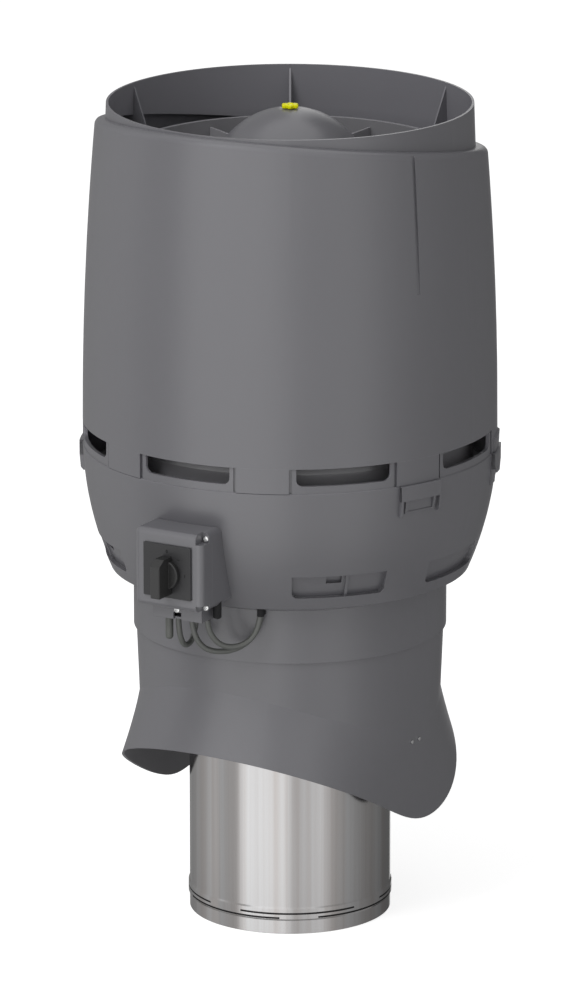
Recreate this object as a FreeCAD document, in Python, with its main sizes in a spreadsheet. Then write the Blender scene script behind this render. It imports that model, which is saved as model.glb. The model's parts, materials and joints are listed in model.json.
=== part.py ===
import FreeCAD, Part
import math
import os
import re
from types import SimpleNamespace

import Sketcher
from FreeCAD import Vector

os.makedirs("parts", exist_ok=True)
doc = FreeCAD.newDocument("RoofExhaustFan")

# Driving sizes in millimetres and degrees; the two heights are above the open end of the steel pipe
sizes = {
    # steel duct pipe with its seal
    "pipeRadius": 125.0,
    "pipeWall": 0.8,
    "pipeShort": 12.0,
    "bandLow": 17.0,
    "bandHigh": 34.0,
    "bandProud": 1.6,
    "bandSlope": 2.0,
    "bandSlot": 2.2,
    "slotLow": 19.5,
    "slotHigh": 25.0,
    "slotSpan": 68.0,
    "sealLip": 1.4,
    # riser shell and its flared saddle edge
    "riserTaper": 0.038,
    "riserLap": 43.0,
    "sleeveDrop": 67.0,
    "collarWall": 3.0,
    "flareReach": 29.0,
    "tuckInset": 12.5,
    "flarePower": 5.0,
    "edgeDrop": 167.0,
    "edgeSaddle": 62.0,
    "edgeLean": 4.0,
    "edgeSkew": 14.0,
    "creaseDrop": 74.0,
    "creaseSaddle": 31.0,
    "insulationDrop": 22.0,
    "insulationRise": 8.0,
    "rivetDrop": 124.0,
    "rivetAngle": 86.0,
    "rivetPitch": 5.0,
    "rivetRadius": 1.4,
    # lower housing, a bowl with a sleeve under it
    "neckInset": 28.0,
    "neckDrop": 9.5,
    "housingWall": 3.0,
    "footInset": 33.3,
    "bowlDepth": 152.5,
    "waistInset": 14.8,
    "waistDrop": 100.0,
    "jointHeight": 596.0,
    "jointRadius": 254.3,
    "rimRise": 44.0,
    "pocketStep": 15.5,
    "pocketRise": 29.0,
    "pocketSpan": 29.0,
    "pocketDepth": 6.0,
    "pocketCorner": 7.0,
    "recessAngle": 43.3,
    "recessSpan": 4.8,
    "recessStep": 18.0,
    "recessDepth": 4.0,
    "ribAngle": 47.2,
    "ribSpan": 0.9,
    "sillRise": 9.0,
    "windowRise": 21.5,
    "windowSpan": 30.6,
    "panelSpan": 29.0,
    "panelInset": 1.6,
    "openingSpan": 26.8,
    "openingCorner": 8.0,
    # hood
    "hoodWall": 3.0,
    "middleInset": 3.3,
    "middleShare": 0.43294117647,
    "shoulderInset": 19.5,
    "topHeight": 1021.0,
    "topInset": 31.0,
    "topDraft": 2.2,
    "shoulderDrop": 37.5,
    "shoulderBack": 0.7313,
    "shoulderRound": 8.5,
    "gussetWall": 2.6,
    "gussetDrop": 3.0,
    "creviceAngle": 68.0,
    "creviceWidth": 5.0,
    "creviceDepth": 1.8,
    "creviceLength": 194.0,
    # snap clips beside the slots
    "clipAngle": 67.5,
    "clipSpan": 10.8,
    "clipGripSpan": 9.0,
    "clipPlate": 19.0,
    "clipHeight": 37.0,
    "clipProud": 4.5,
    "clipCheek": 1.1,
    "padProud": 2.8,
    "padHeight": 19.5,
    # outlet duct, vanes and motor dome
    "ductInset": 24.3,
    "ductWall": 3.0,
    "ductDrop": 60.0,
    "ductLip": 6.0,
    "ductFootInset": 30.3,
    "ductFootRise": 52.0,
    "ductBendRise": 130.0,
    "vaneCount": 6.0,
    "vaneWall": 3.0,
    "vaneDrop": 9.0,
    "vaneRise": 25.0,
    "hubRadius": 96.5,
    "hubWall": 3.0,
    "domeReach": 3.5,
    "domeDrop": 8.0,
    "domeWall": 2.5,
    "domeSkirt": 34.0,
    "knobLobe": 2.6,
    "knobRadius": 11.2,
    "knobHeight": 5.6,
    "studRadius": 3.0,
    # inlet plate with its bell mouth
    "plateDrop": 36.0,
    "plateWall": 3.0,
    "plateInset": 12.3,
    "ledgeWidth": 12.0,
    "socketDepth": 40.0,
    "eyeInset": 27.0,
    "eyeRise": 40.0,
    # impeller and motor
    "wheelRadius": 148.0,
    "bladeRise": 51.0,
    "wheelWall": 2.5,
    "wheelGap": 3.0,
    "mouthLap": 5.0,
    "mouthRise": 4.0,
    "ringRise": 20.0,
    "bladeCount": 7.0,
    "bladeCurve": 78.0,
    "bladeCentre": 80.0,
    "rotorRadius": 58.0,
    "rotorRise": 67.0,
    "rotorWall": 4.0,
    "statorRadius": 50.0,
    "shaftRadius": 8.0,
    "bearingRadius": 16.0,
    "bearingWidth": 9.0,
    "statorRise": 13.0,
    "motorPlateWall": 4.0,
    "motorBoltCircle": 58.0,
    "motorScrewRadius": 2.5,
    # isolator switch on the front
    "faceReach": 37.7,
    "boxWidth": 94.0,
    "boxBelow": 45.0,
    "boxAbove": 52.1,
    "boxWall": 3.0,
    "splitReach": 13.7,
    "floorInset": 2.3,
    "backInset": 49.3,
    "boxRound": 7.0,
    "boxScrewInset": 25.4,
    "glandHalf": 34.0,
    "glandDrop": 18.1,
    "glandBack": 13.8,
    "flapNotch": 5.5,
    "notchSide": 9.0,
    "notchDepth": 17.0,
    "sideScrew": 4.2,
    "upperScrew": 7.9,
    "lowerScrew": 3.9,
    "flapScrew": 5.7,
    "dialSide": 65.5,
    "dialRise": 2.8,
    "dialWall": 2.5,
    "axisRise": 54.8,
    "discRadius": 18.0,
    "discWall": 7.0,
    "gripAbove": 21.7,
    "gripBelow": 24.7,
    "gripSlope": 7.8,
    "gripSlopeReach": 11.6,
    "gripWidth": 12.5,
    "gripReach": 29.0,
    "blockSide": 44.0,
    "spindleRadius": 4.0,
    "screwRadius": 1.9,
    "screwHead": 3.6,
    "screwLength": 18.0,
    # cables under the switch
    "cableRadius": 3.5,
    "bushWall": 1.0,
    "cableInset": 6.3,
    "supplyExit": 6.2,
    "supplyDrop": 47.2,
    "supplyRise": 28.0,
    "supplyInset": 19.0,
    "supplyNear": 0.2,
    "supplyFar": 0.68,
    "motorExit": 27.5,
    "motorDrop": 38.7,
    "motorRise": 24.5,
    "motorInset": 9.0,
    "motorNear": 0.27,
    "motorFar": 0.73,
    "linkExit": -12.3,
    "linkDrop": 43.7,
    "linkInset": 14.0,
    "entryAngle": 20.4,
    "linkAngle": -3.0,
    "plugExit": -24.9,
    "plugRadius": 4.8,
    "plugLength": 33.5,
    "padRadius": 5.2,
    "padAcross": 41.5,
    "padInset": 7.3,
    "padDrop": 16.8,
    # clearances: a seat, a running fit
    "seatGap": 0.3,
    "runGap": 0.05,
}

sheet = doc.addObject("Spreadsheet::Sheet", "Sizes")
for row, (alias, number) in enumerate(sizes.items(), start=1):
    sheet.set(f"A{row}", alias)
    sheet.set(f"B{row}", str(number))
    sheet.setAlias(f"B{row}", alias)
doc.recompute()

# the sheet's values, by alias
cell = SimpleNamespace(**{alias: float(getattr(sheet, alias)) for alias in sizes})

# heights and radii that follow from the sheet's, so that each piece keeps to what carries it
cell.bowlFootHeight = cell.jointHeight - cell.bowlDepth
cell.neckHeight = cell.bowlFootHeight - cell.neckDrop
cell.bowlWaistHeight = cell.jointHeight - cell.waistDrop
cell.rimTop = cell.jointHeight + cell.rimRise
cell.windowBottom = cell.jointHeight + cell.sillRise
cell.windowTop = cell.windowBottom + cell.windowRise
cell.pocketLow = cell.bowlFootHeight + cell.pocketStep
cell.pocketHigh = cell.pocketLow + cell.pocketRise
cell.recessLow = cell.pocketLow + cell.recessStep
cell.bowlWaistRadius = cell.jointRadius - cell.waistInset
cell.bowlFootRadius = cell.jointRadius - cell.footInset
cell.sleeveRadius = cell.bowlFootRadius - cell.neckInset
cell.seamHeight = cell.neckHeight - cell.sleeveDrop
cell.riserTop = cell.seamHeight + cell.riserLap
cell.insulationLow = cell.seamHeight - cell.insulationDrop
cell.insulationTop = cell.seamHeight + cell.insulationRise
cell.edgeMean = cell.seamHeight - cell.edgeDrop
cell.creaseMean = cell.seamHeight - cell.creaseDrop
cell.rivetHeight = cell.seamHeight - cell.rivetDrop
cell.flareRadius = cell.sleeveRadius + cell.flareReach
cell.tuckRadius = cell.sleeveRadius - cell.tuckInset
cell.hoodMidHeight = cell.jointHeight + (cell.topHeight - cell.jointHeight) * cell.middleShare
cell.hoodMidRadius = cell.jointRadius - cell.middleInset
cell.hoodTopRadius = cell.jointRadius - cell.shoulderInset
cell.topRadius = cell.jointRadius - cell.topInset
cell.shoulderHeight = cell.topHeight - cell.shoulderDrop
cell.shoulderTilt = math.degrees(math.atan((cell.shoulderDrop - cell.shoulderBack) / cell.hoodTopRadius))
cell.gussetTop = cell.topHeight - cell.gussetDrop
cell.creviceLow = cell.topHeight - cell.creviceLength
cell.plateHeight = cell.jointHeight - cell.plateDrop
cell.plateRadius = cell.jointRadius - cell.plateInset
cell.pipeTop = cell.plateHeight - cell.pipeShort
cell.socketLow = cell.plateHeight - cell.socketDepth
cell.eyeRadius = cell.pipeRadius - cell.eyeInset
cell.eyeTop = cell.plateHeight + cell.eyeRise
cell.wheelMouthLow = cell.eyeTop - cell.mouthLap
cell.wheelMouthHigh = cell.eyeTop + cell.mouthRise
cell.wheelRimHeight = cell.wheelMouthHigh + cell.ringRise
cell.wheelBack = cell.wheelMouthHigh + cell.bladeRise
cell.rotorTop = cell.wheelBack + cell.rotorRise
cell.motorPlate = cell.rotorTop + cell.statorRise
cell.ductTop = cell.topHeight - cell.ductDrop
cell.ductRadius = cell.topRadius - cell.ductInset
cell.ductFootRadius = cell.jointRadius - cell.ductFootInset
cell.ductFootTop = cell.plateHeight + cell.ductFootRise
cell.ductBend = cell.plateHeight + cell.ductBendRise
cell.vaneLow = cell.motorPlate + cell.vaneRise
cell.domeTop = cell.topHeight - cell.domeDrop
cell.domeRadius = cell.hubRadius + cell.domeReach
cell.axisHeight = cell.bowlFootHeight + cell.axisRise
cell.boxLow = cell.axisHeight - cell.boxBelow
cell.boxHigh = cell.axisHeight + cell.boxAbove
cell.dialHeight = cell.axisHeight + cell.dialRise
cell.boxFace = cell.jointRadius + cell.faceReach
cell.boxSplit = cell.jointRadius + cell.splitReach
cell.boxFloor = cell.jointRadius - cell.floorInset
cell.boxBack = cell.jointRadius - cell.backInset
cell.glandLow = cell.boxLow - cell.glandDrop
cell.cableDepth = cell.jointRadius - cell.cableInset
cell.padDepth = cell.jointRadius - cell.padInset
cell.supplyLow = cell.glandLow - cell.supplyDrop
cell.motorLow = cell.glandLow - cell.motorDrop
cell.linkLow = cell.glandLow - cell.linkDrop
cell.supplyEntry = cell.bowlFootRadius - cell.supplyInset
cell.motorEntry = cell.bowlFootRadius - cell.motorInset
cell.linkEntry = cell.bowlFootRadius - cell.linkInset

origin = Vector(0, 0, 0)
zAxis = Vector(0, 0, 1)
sectorCount = 8
sectorAngle = 360 / sectorCount
pieces = {}


def bound(formula):
    """Formula with each alias pointed at the sheet."""
    return re.sub(r"[A-Za-z]+", lambda word: "Sizes." + word.group(), formula)


def polar(radius, angle, height):
    """Point at an angle from the front, counted towards the right."""
    turn = math.radians(angle)
    return Vector(radius * math.sin(turn), -radius * math.cos(turn), height)


def keep(name, feature):
    """Label a finished sub-part; the label names its file."""
    feature.Label = name
    pieces[name] = feature
    return feature


def solid(name, shape):
    """Sub-part whose shape is worked out in code."""
    feature = doc.addObject("Part::Feature", name)
    feature.Shape = shape
    return keep(name, feature)


def group(name, shapes):
    """Sub-part of several separate like solids."""
    return solid(name, Part.makeCompound(shapes))


def turned(name, outline):
    """Body turned about the fan's axis; the outline is a list of radius and height formulas."""
    body = doc.addObject("PartDesign::Body", name)
    plane = [item for item in body.Origin.OriginFeatures if item.Role == "XZ_Plane"][0]
    sketch = body.newObject("Sketcher::SketchObject", name + "Outline")
    sketch.AttachmentSupport = (plane, [""])
    sketch.MapMode = "FlatFace"
    count = len(outline)
    wide = cell.jointRadius
    corners = []
    for i in range(count):
        turn = math.tau * i / count
        corners.append(Vector(wide + wide / 4 * math.cos(turn), wide / 2 + wide / 4 * math.sin(turn), 0))
    for i in range(count):
        sketch.addGeometry(Part.LineSegment(corners[i], corners[(i + 1) % count]), False)
    for i, (radius, height) in enumerate(outline):
        sketch.addConstraint(Sketcher.Constraint("Coincident", i, 2, (i + 1) % count, 1))
        if radius == "0":
            sketch.addConstraint(Sketcher.Constraint("PointOnObject", i, 1, -2))
        else:
            across = sketch.addConstraint(Sketcher.Constraint("DistanceX", -1, 1, i, 1, corners[i].x))
            sketch.setExpression(f"Constraints[{across}]", bound(radius))
        up = sketch.addConstraint(Sketcher.Constraint("DistanceY", -1, 1, i, 1, corners[i].y))
        sketch.setExpression(f"Constraints[{up}]", bound(height))
    spin = body.newObject("PartDesign::Revolution", name + "Turn")
    spin.Profile = sketch
    spin.ReferenceAxis = (sketch, ["V_Axis"])
    spin.Angle = 360
    body.Tip = spin
    return keep(name, body)


def revolve(*outline, turn=360):
    """Solid swept about the fan's axis by an outline of radius and height points and ready curves."""
    edges = []
    points = []
    for item in outline:
        if isinstance(item, tuple):
            points.append(Vector(item[0], 0, item[1]))
        else:
            start = item.value(item.FirstParameter)
            if points and (points[-1] - start).Length > 1e-6:
                edges.append(Part.LineSegment(points[-1], start).toShape())
            edges.append(item.toShape())
            points += [start, item.value(item.LastParameter)]
            continue
        if len(points) > 1:
            edges.append(Part.LineSegment(points[-2], points[-1]).toShape())
    edges.append(Part.LineSegment(points[-1], points[0]).toShape())
    return Part.Face(Part.Wire(edges)).revolve(origin, zAxis, turn)


def sector(inner, outer, low, high, middle, span):
    """Piece of a ring, centred on an angle from the front."""
    ring = revolve((inner, low), (outer, low), (outer, high), (inner, high), turn=span)
    ring.rotate(origin, zAxis, middle - 90 - span / 2)
    return ring


def turn_to(shape, angle):
    """Copy turned from the front to an angle."""
    copy = shape.copy()
    copy.rotate(origin, zAxis, angle)
    return copy


def block(low, high):
    """Block between two corners."""
    return Part.makeBox(high[0] - low[0], high[1] - low[1], high[2] - low[2], Vector(*low))


def bar(radius, start, end):
    """Round bar from one point to another."""
    return Part.makeCylinder(radius, (end - start).Length, start, end - start)


# Surfaces of the housing and the hood that other pieces seat on

def bowl_curve(inset):
    """Side of the bowl from its foot up to the joint, moved inwards by inset."""
    return Part.Arc(Vector(cell.bowlFootRadius - inset, 0, cell.bowlFootHeight + inset / 2),
                    Vector(cell.bowlWaistRadius - inset, 0, cell.bowlWaistHeight),
                    Vector(cell.jointRadius - inset, 0, cell.jointHeight))


def hood_curve(inset):
    """Side of the hood from the joint up to the top, moved inwards by inset."""
    return Part.Arc(Vector(cell.jointRadius - inset, 0, cell.jointHeight),
                    Vector(cell.hoodMidRadius - inset, 0, cell.hoodMidHeight),
                    Vector(cell.hoodTopRadius - inset, 0, cell.topHeight))


def bowl_outside(gap):
    """The bowl and its sleeve as a filled solid, larger by a gap."""
    sleeve = cell.sleeveRadius + gap
    return revolve((0, cell.seamHeight), (sleeve, cell.seamHeight), (sleeve, cell.neckHeight - gap),
                   bowl_curve(-gap), (0, cell.jointHeight))


def rim_radius():
    """Outside of the housing's upright rim, which stands inside the hood."""
    return cell.jointRadius - cell.hoodWall - cell.seatGap


def riser_radius(height):
    """Outside of the riser, straight in the sleeve and tapered below it."""
    top = cell.sleeveRadius - cell.housingWall - cell.seatGap
    return top - max(0, cell.seamHeight - height) * cell.riserTaper


# Steel pipe: a plain tube with a raised band near its end, slotted so that the seal shows

def duct_pipe():
    outer = cell.pipeRadius
    inner = outer - cell.pipeWall
    low, high, slope, proud = cell.bandLow, cell.bandHigh, cell.bandSlope, cell.bandProud
    top = cell.pipeTop
    tube = revolve((outer, 0), (outer, low), (outer + proud, low + slope), (outer + proud, high - slope),
                   (outer, high), (outer, top), (inner, top), (inner, high), (inner + proud, high - slope),
                   (inner + proud, low + slope), (inner, low), (inner, 0))
    slots = []
    pairs = 4
    for number in range(pairs):
        for shift, height in ((0, cell.slotLow), (180 / pairs, cell.slotHigh)):
            middle = -10 + shift + number * 360 / pairs
            span = cell.slotSpan
            slots.append(sector(inner, outer + 2 * proud, height, height + cell.bandSlot, middle, span))
    return solid("duct_pipe", tube.cut(slots))


def pipe_seal():
    inside = "pipeRadius - pipeWall"
    turned("pipe_seal", [
        (f"{inside} + bandProud - runGap", "bandLow + bandSlope + seatGap"),
        (f"{inside} + bandProud - runGap", "bandHigh - bandSlope - seatGap"),
        (f"{inside} - sealLip", "bandHigh - bandSlope - sealLip * 2"),
        (f"{inside} - seatGap", "(bandLow + bandHigh) / 2"),
        (f"{inside} - sealLip", "bandLow + bandSlope + sealLip * 2"),
    ])


# Riser shell: a tapered tube whose lower edge flares out at the front and back, into a saddle

def flare_ring(place, inset):
    """Closed curve round the riser, at the start of the flare or at its edge."""
    points = []
    count = 48
    for step in range(count):
        angle = math.pi + math.tau * step / count
        if place == "crease":
            height = cell.creaseMean + cell.creaseSaddle * math.cos(2 * angle)
            radius = riser_radius(height)
        else:
            height = (cell.edgeMean + cell.edgeLean * math.cos(angle)
                      + cell.edgeSaddle * math.cos(2 * angle) - cell.edgeSkew * math.cos(3 * angle))
            tuck = abs(math.sin(angle)) ** cell.flarePower
            radius = cell.flareRadius - (cell.flareRadius - cell.tuckRadius) * tuck
        points.append(polar(radius - inset, math.degrees(angle), height))
    curve = Part.BSplineCurve()
    curve.interpolate(Points=points, PeriodicFlag=True)
    return curve.toShape()


def level_ring(radius, height):
    """Level circle that starts at the back, as the flare's curves do."""
    ring = Part.Circle(Vector(0, 0, height), zAxis, radius).toShape()
    ring.rotate(origin, zAxis, 90)
    return ring


def roof_collar():
    wall = cell.collarWall
    top = cell.riserTop
    seam = cell.seamHeight
    outer = riser_radius(top)
    rings = [level_ring(outer, top), level_ring(outer, seam), flare_ring("crease", 0), flare_ring("edge", 0),
             flare_ring("edge", wall), flare_ring("crease", wall), level_ring(outer - wall, seam),
             level_ring(outer - wall, top)]
    faces = [Part.makeRuledSurface(rings[i - 1], rings[i]) for i in range(len(rings))]
    shell = Part.makeShell(faces)
    shell.sewShape()
    skin = Part.makeSolid(shell)
    if skin.Volume < 0:
        skin.reverse()
    return solid("roof_collar", skin.cut(rivet_bars(cell.rivetRadius + cell.runGap, -12, 12)))


def riser_insulation():
    shell = "jointRadius - footInset - neckInset - housingWall - collarWall - seatGap * 2"
    seam = "jointHeight - bowlDepth - neckDrop - sleeveDrop"
    turned("riser_insulation", [
        ("pipeRadius + seatGap", f"{seam} - insulationDrop"),
        (f"{shell} - insulationDrop * riserTaper", f"{seam} - insulationDrop"),
        (shell, seam),
        (shell, f"{seam} + insulationRise"),
        ("pipeRadius + seatGap", f"{seam} + insulationRise"),
    ])


def rivet_bars(radius, near, far):
    """Bars through the riser at its rivets, between two distances from its surface."""
    surface = riser_radius(cell.rivetHeight)
    angles = [side * cell.rivetAngle + step * cell.rivetPitch / 2 for side in (-1, 1) for step in (-1, 1)]
    return [bar(radius, polar(surface + near, angle, cell.rivetHeight),
                polar(surface + far, angle, cell.rivetHeight)) for angle in angles]


def collar_rivets():
    seat = cell.seatGap
    heads = rivet_bars(cell.rivetRadius * 1.6, seat, seat + cell.rivetRadius)
    shanks = rivet_bars(cell.rivetRadius, -cell.collarWall - 2, seat + 0.5)
    return group("collar_rivets", [head.fuse(shank).removeSplitter() for head, shank in zip(heads, shanks)])


# Lower housing: bowl, sleeve, floor, ledge for the inlet plate and notched rim

def pocket_zones(grow):
    """Recesses round the bowl's lower side, left out at the front where the switch sits."""
    side = math.degrees(2 * grow / cell.bowlWaistRadius)
    low, high, span = cell.pocketLow - grow, cell.pocketHigh + grow, cell.pocketSpan + side
    outer = cell.jointRadius + 5
    floor = bowl_outside(-cell.pocketDepth - grow)
    deeper = bowl_outside(-cell.pocketDepth - cell.recessDepth - grow)
    zones = []
    for number in range(1, sectorCount):
        middle = number * sectorAngle
        zone = sector(cell.sleeveRadius, outer, low, high, middle, span)
        lower = [edge for edge in zone.Edges if edge.BoundBox.ZMax < low + 1
                 and edge.Curve.TypeId == "Part::GeomLine"]
        zone = zone.makeFillet(cell.pocketCorner, lower).cut(floor)
        if number in (1, sectorCount - 1):
            turn = 1 if number == 1 else -1
            recess = turn * cell.recessAngle
            zone = zone.fuse(sector(cell.sleeveRadius, outer - 15, cell.recessLow - grow, high - 1, recess,
                                    cell.recessSpan + side).cut(deeper))
            if grow == 0:
                rib = sector(cell.sleeveRadius, outer, low - 1, high + 1, turn * cell.ribAngle, cell.ribSpan)
                zone = zone.cut(rib.common(bowl_outside(-cell.pocketDepth / 2)))
        zones.append(zone)
    return zones


def rim_openings():
    """Cutters for the rim's openings, each with rounded lower corners."""
    half = rim_radius() * math.sin(math.radians(cell.openingSpan / 2))
    corner = cell.openingCorner
    low, high = cell.windowBottom, cell.rimTop + 5
    cut = block((-half, -cell.jointRadius - 5, low), (half, -cell.jointRadius + 40, high))
    lower = [edge for edge in cut.Edges
             if abs(edge.CenterOfMass.z - low) < 1e-6 and abs(abs(edge.CenterOfMass.x) - half) < 1e-6]
    cut = cut.makeFillet(corner, lower)
    return [turn_to(cut, number * sectorAngle) for number in range(sectorCount)]


def lower_housing():
    wall = cell.housingWall
    rim = rim_radius()
    joint = cell.jointHeight
    top = cell.rimTop
    outside = bowl_outside(0).fuse(revolve((0, joint - 5), (rim, joint - 5), (rim, top), (0, top)))
    skin = cell.jointRadius
    panels = [sector(rim - 1, skin - cell.panelInset, joint - 1, cell.windowTop - cell.seatGap,
                     number * sectorAngle, cell.panelSpan) for number in range(sectorCount)]
    chamfer = revolve((skin - 1.2, joint + 0.1), (skin + 2, joint + 0.1), (skin + 2, joint - 3.2))
    outside = outside.cut(chamfer).fuse(panels).cut(pocket_zones(0))
    hollow = revolve((0, cell.neckHeight + wall), (cell.sleeveRadius - wall, cell.neckHeight + wall),
                     bowl_curve(wall), (0, joint))
    shelf = joint - 2 * wall
    hollow = hollow.common(revolve((0, 0), (skin, 0), (skin, shelf), (0, shelf)))
    hollow = hollow.fuse(revolve((0, shelf - 5), (rim - wall, shelf - 5), (rim - wall, cell.rimTop + 5),
                                 (0, cell.rimTop + 5)))
    hollow = hollow.cut(pocket_zones(wall))
    plate = cell.plateHeight
    ledge = revolve((cell.plateRadius + 15, plate - wall), (cell.plateRadius + 15, plate),
                    (cell.plateRadius - cell.ledgeWidth / 2, plate),
                    (cell.plateRadius - cell.ledgeWidth / 2, plate - wall))
    hollow = hollow.cut(ledge)
    sleeveInside = revolve((0, cell.seamHeight - 5), (cell.sleeveRadius - wall, cell.seamHeight - 5),
                           (cell.sleeveRadius - wall, cell.neckHeight), (0, cell.neckHeight))
    bore = bar(cell.pipeRadius + cell.seatGap, Vector(0, 0, cell.neckHeight - 5),
               Vector(0, 0, cell.neckHeight + 10))
    ends = [route[-1] for route in cable_routes()]
    holes = [bar(bush_radius() + cell.runGap, Vector(end.x, end.y, cell.neckHeight - 5),
                 Vector(end.x, end.y, cell.bowlFootHeight + 6)) for end in ends]
    holes += base_screw_bars(cell.screwRadius + cell.runGap, cell.boxFloor + 5, cell.boxBack + 20)
    return solid("lower_housing", outside.cut([hollow, sleeveInside, bore] + rim_openings() + holes))


# Hood: skirt, slanted shoulder, top wall, gussets and the bars between the windows

def below_shoulder(shape, drop):
    """The part of a shape under the slanted shoulder, moved down by drop."""
    wide = 2 * cell.jointRadius
    above = block((-wide, -wide, 0), (wide, wide, wide))
    above.rotate(origin, Vector(1, 0, 0), -cell.shoulderTilt)
    above.translate(Vector(0, 0, cell.shoulderHeight - drop))
    return shape.cut(above)


def top_cone(inset):
    """The upright top wall as a filled cone."""
    low = cell.shoulderHeight - 70
    widen = (cell.topHeight - low) * math.tan(math.radians(cell.topDraft))
    return revolve((0, low), (cell.topRadius + widen - inset, low), (cell.topRadius - inset, cell.topHeight),
                   (0, cell.topHeight))


def hood():
    """The hood above the windows, and the eight posts between them that stand on the joint."""
    wall = cell.hoodWall
    joint = cell.jointHeight
    skirt = below_shoulder(revolve((0, joint), hood_curve(0), (0, cell.topHeight)), 0)
    rounded = [edge for edge in skirt.Edges
               if edge.BoundBox.ZMin > cell.hoodMidHeight and edge.BoundBox.XLength > cell.topRadius]
    skirt = skirt.makeFillet(cell.shoulderRound, rounded)
    outside = skirt.fuse(top_cone(0))
    start = joint - 5
    inside = revolve((0, start), (cell.jointRadius - wall, start), hood_curve(wall), (0, cell.topHeight))
    inside = below_shoulder(inside, wall * 1.02)
    lift = revolve((0, cell.shoulderHeight), (cell.topRadius - wall, cell.topHeight - 1),
                   (cell.topRadius - wall, cell.topHeight + 5), (0, cell.topHeight + 5))
    shell = outside.cut([inside, top_cone(wall), lift])
    shell = shell.fuse([gusset.common(outside) for gusset in gussets()])
    shell = shell.fuse(pads())
    inner, outer = cell.jointRadius - 10, cell.jointRadius + 10
    windows = [sector(inner, outer, joint - 5, cell.windowTop, number * sectorAngle, cell.windowSpan)
               for number in range(sectorCount)]
    lower = revolve((0, start), (outer, start), (outer, cell.windowTop), (0, cell.windowTop))
    shell = shell.cut(windows + crevices())
    solid("hood", shell.cut(lower))
    group("hood_posts", shell.common(lower).Solids)


def gussets():
    """Six thin webs that stand inside the top wall and locate the outlet duct."""
    inner = cell.ductRadius + cell.ductWall - 1 + cell.seatGap
    outer = cell.jointRadius
    half = cell.gussetWall / 2
    low = cell.ductTop - 26
    corners = [(cell.topRadius - cell.hoodWall + 1, cell.gussetTop), (outer, cell.gussetTop),
               (outer, low - 30), (inner, low), (inner, cell.ductTop)]
    face = Part.Face(Part.makePolygon([Vector(-half, -r, h) for r, h in corners + corners[:1]]))
    web = face.extrude(Vector(2 * half, 0, 0))
    return [turn_to(web, angle) for angle in range(30, 390, 60)]


def pads():
    """Raised pads on the bars above the clips."""
    low = cell.jointHeight
    high = low + cell.padHeight
    skin = cell.jointRadius - 1
    outline = ((skin, low), (cell.jointRadius + cell.padProud * 0.7, low),
               (cell.jointRadius + cell.padProud, high - 2), (cell.jointRadius, high), (skin, high))
    shapes = []
    for angle in clip_angles()[1:3]:
        pad = revolve(*outline, turn=cell.clipSpan)
        pad.rotate(origin, zAxis, angle - 90 - cell.clipSpan / 2)
        shapes.append(pad)
    return shapes


def crevices():
    """Upright grooves in the hood's sides, one on the left and one on the right."""
    half = cell.creviceWidth / 2
    low = cell.creviceLow
    high = cell.topHeight
    deep = cell.creviceDepth
    # the side is straight enough between the groove's ends for one plane
    lowRadius = hood_radius(low) - deep * 0.4
    highRadius = hood_radius(high) - deep
    outer = cell.jointRadius + 5
    corners = [(lowRadius, low), (outer, low), (outer, high), (highRadius, high)]
    face = Part.Face(Part.makePolygon([Vector(-half, -r, h) for r, h in corners + corners[:1]]))
    cut = face.extrude(Vector(2 * half, 0, 0))
    return [turn_to(cut, side * cell.creviceAngle) for side in (-1, 1)]


def hood_radius(height):
    """Outside radius of the hood at a height."""
    curve = hood_curve(0)
    line = Part.LineSegment(Vector(0, 0, height), Vector(2 * cell.jointRadius, 0, height))
    return curve.intersectCC(line)[0].X if curve.intersectCC(line) else cell.hoodTopRadius


# Snap clips on the bowl under the joint

def clip_angles():
    """Angles of the clips, the two rear ones in the middle."""
    first = cell.clipAngle
    return [first, 180 - first, first - 180, -first]


def hood_clips():
    joint = cell.jointHeight
    outer = cell.jointRadius + cell.clipProud
    plateLow = joint - cell.clipPlate
    foot = joint - cell.clipHeight
    inner, top = outer - 25, joint - cell.seatGap
    plate = ((inner, plateLow), (outer, plateLow), (outer, top), (inner, top))
    cheek = ((inner, foot), (outer - 9, foot), (outer - 0.8, plateLow), (inner, plateLow))
    side = (cell.clipGripSpan - cell.clipCheek) / 2
    clips = []
    for angle in clip_angles():
        parts = []
        for outline, middle, span in ((plate, 0, cell.clipSpan), (cheek, -side, cell.clipCheek),
                                      (cheek, side, cell.clipCheek)):
            shape = revolve(*outline, turn=span)
            shape.rotate(origin, zAxis, angle + middle - 90 - span / 2)
            parts.append(shape)
        clips.append(parts[0].fuse(parts[1:]).cut(bowl_outside(cell.seatGap)).removeSplitter())
    return group("hood_clips", clips)


# Outlet duct with its vanes and the hub that carries the motor

def dome_outline(inset):
    """Half section of the motor dome as points and an arc, inset by a wall or grown by a gap."""
    radius = cell.domeRadius - inset
    centre = cell.domeTop - cell.domeRadius
    part = radius * math.sqrt(0.5)
    quarter = Part.Arc(Vector(radius, 0, centre), Vector(part, 0, centre + part),
                       Vector(0, 0, centre + radius))
    low = centre - cell.domeSkirt
    return [(0, low), (radius, low), quarter]


def outlet_duct():
    """Tube that narrows above its foot, with a lip at the top and a flange below."""
    wall, outer, foot = cell.ductWall, cell.ductRadius, cell.ductFootRadius
    base = cell.plateHeight + cell.plateWall
    lip = outer + wall - 1
    top, bend, footTop = cell.ductTop, cell.ductBend, cell.ductFootTop
    tube = revolve((foot, base), (foot, footTop), (outer, bend), (outer, top - cell.ductLip),
                   (lip, top - cell.ductLip), (lip, top), (outer - wall, top), (outer - wall, bend),
                   (foot - wall, footTop), (foot - wall, base))
    flange = revolve((foot - 1, base), (foot + 9, base), (foot + 9, base + wall), (foot - 1, base + wall))
    holes = flange_bars(2.2, base - 1, base + wall + 1)
    return solid("outlet_duct", tube.fuse(flange).cut(holes).removeSplitter())


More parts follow.
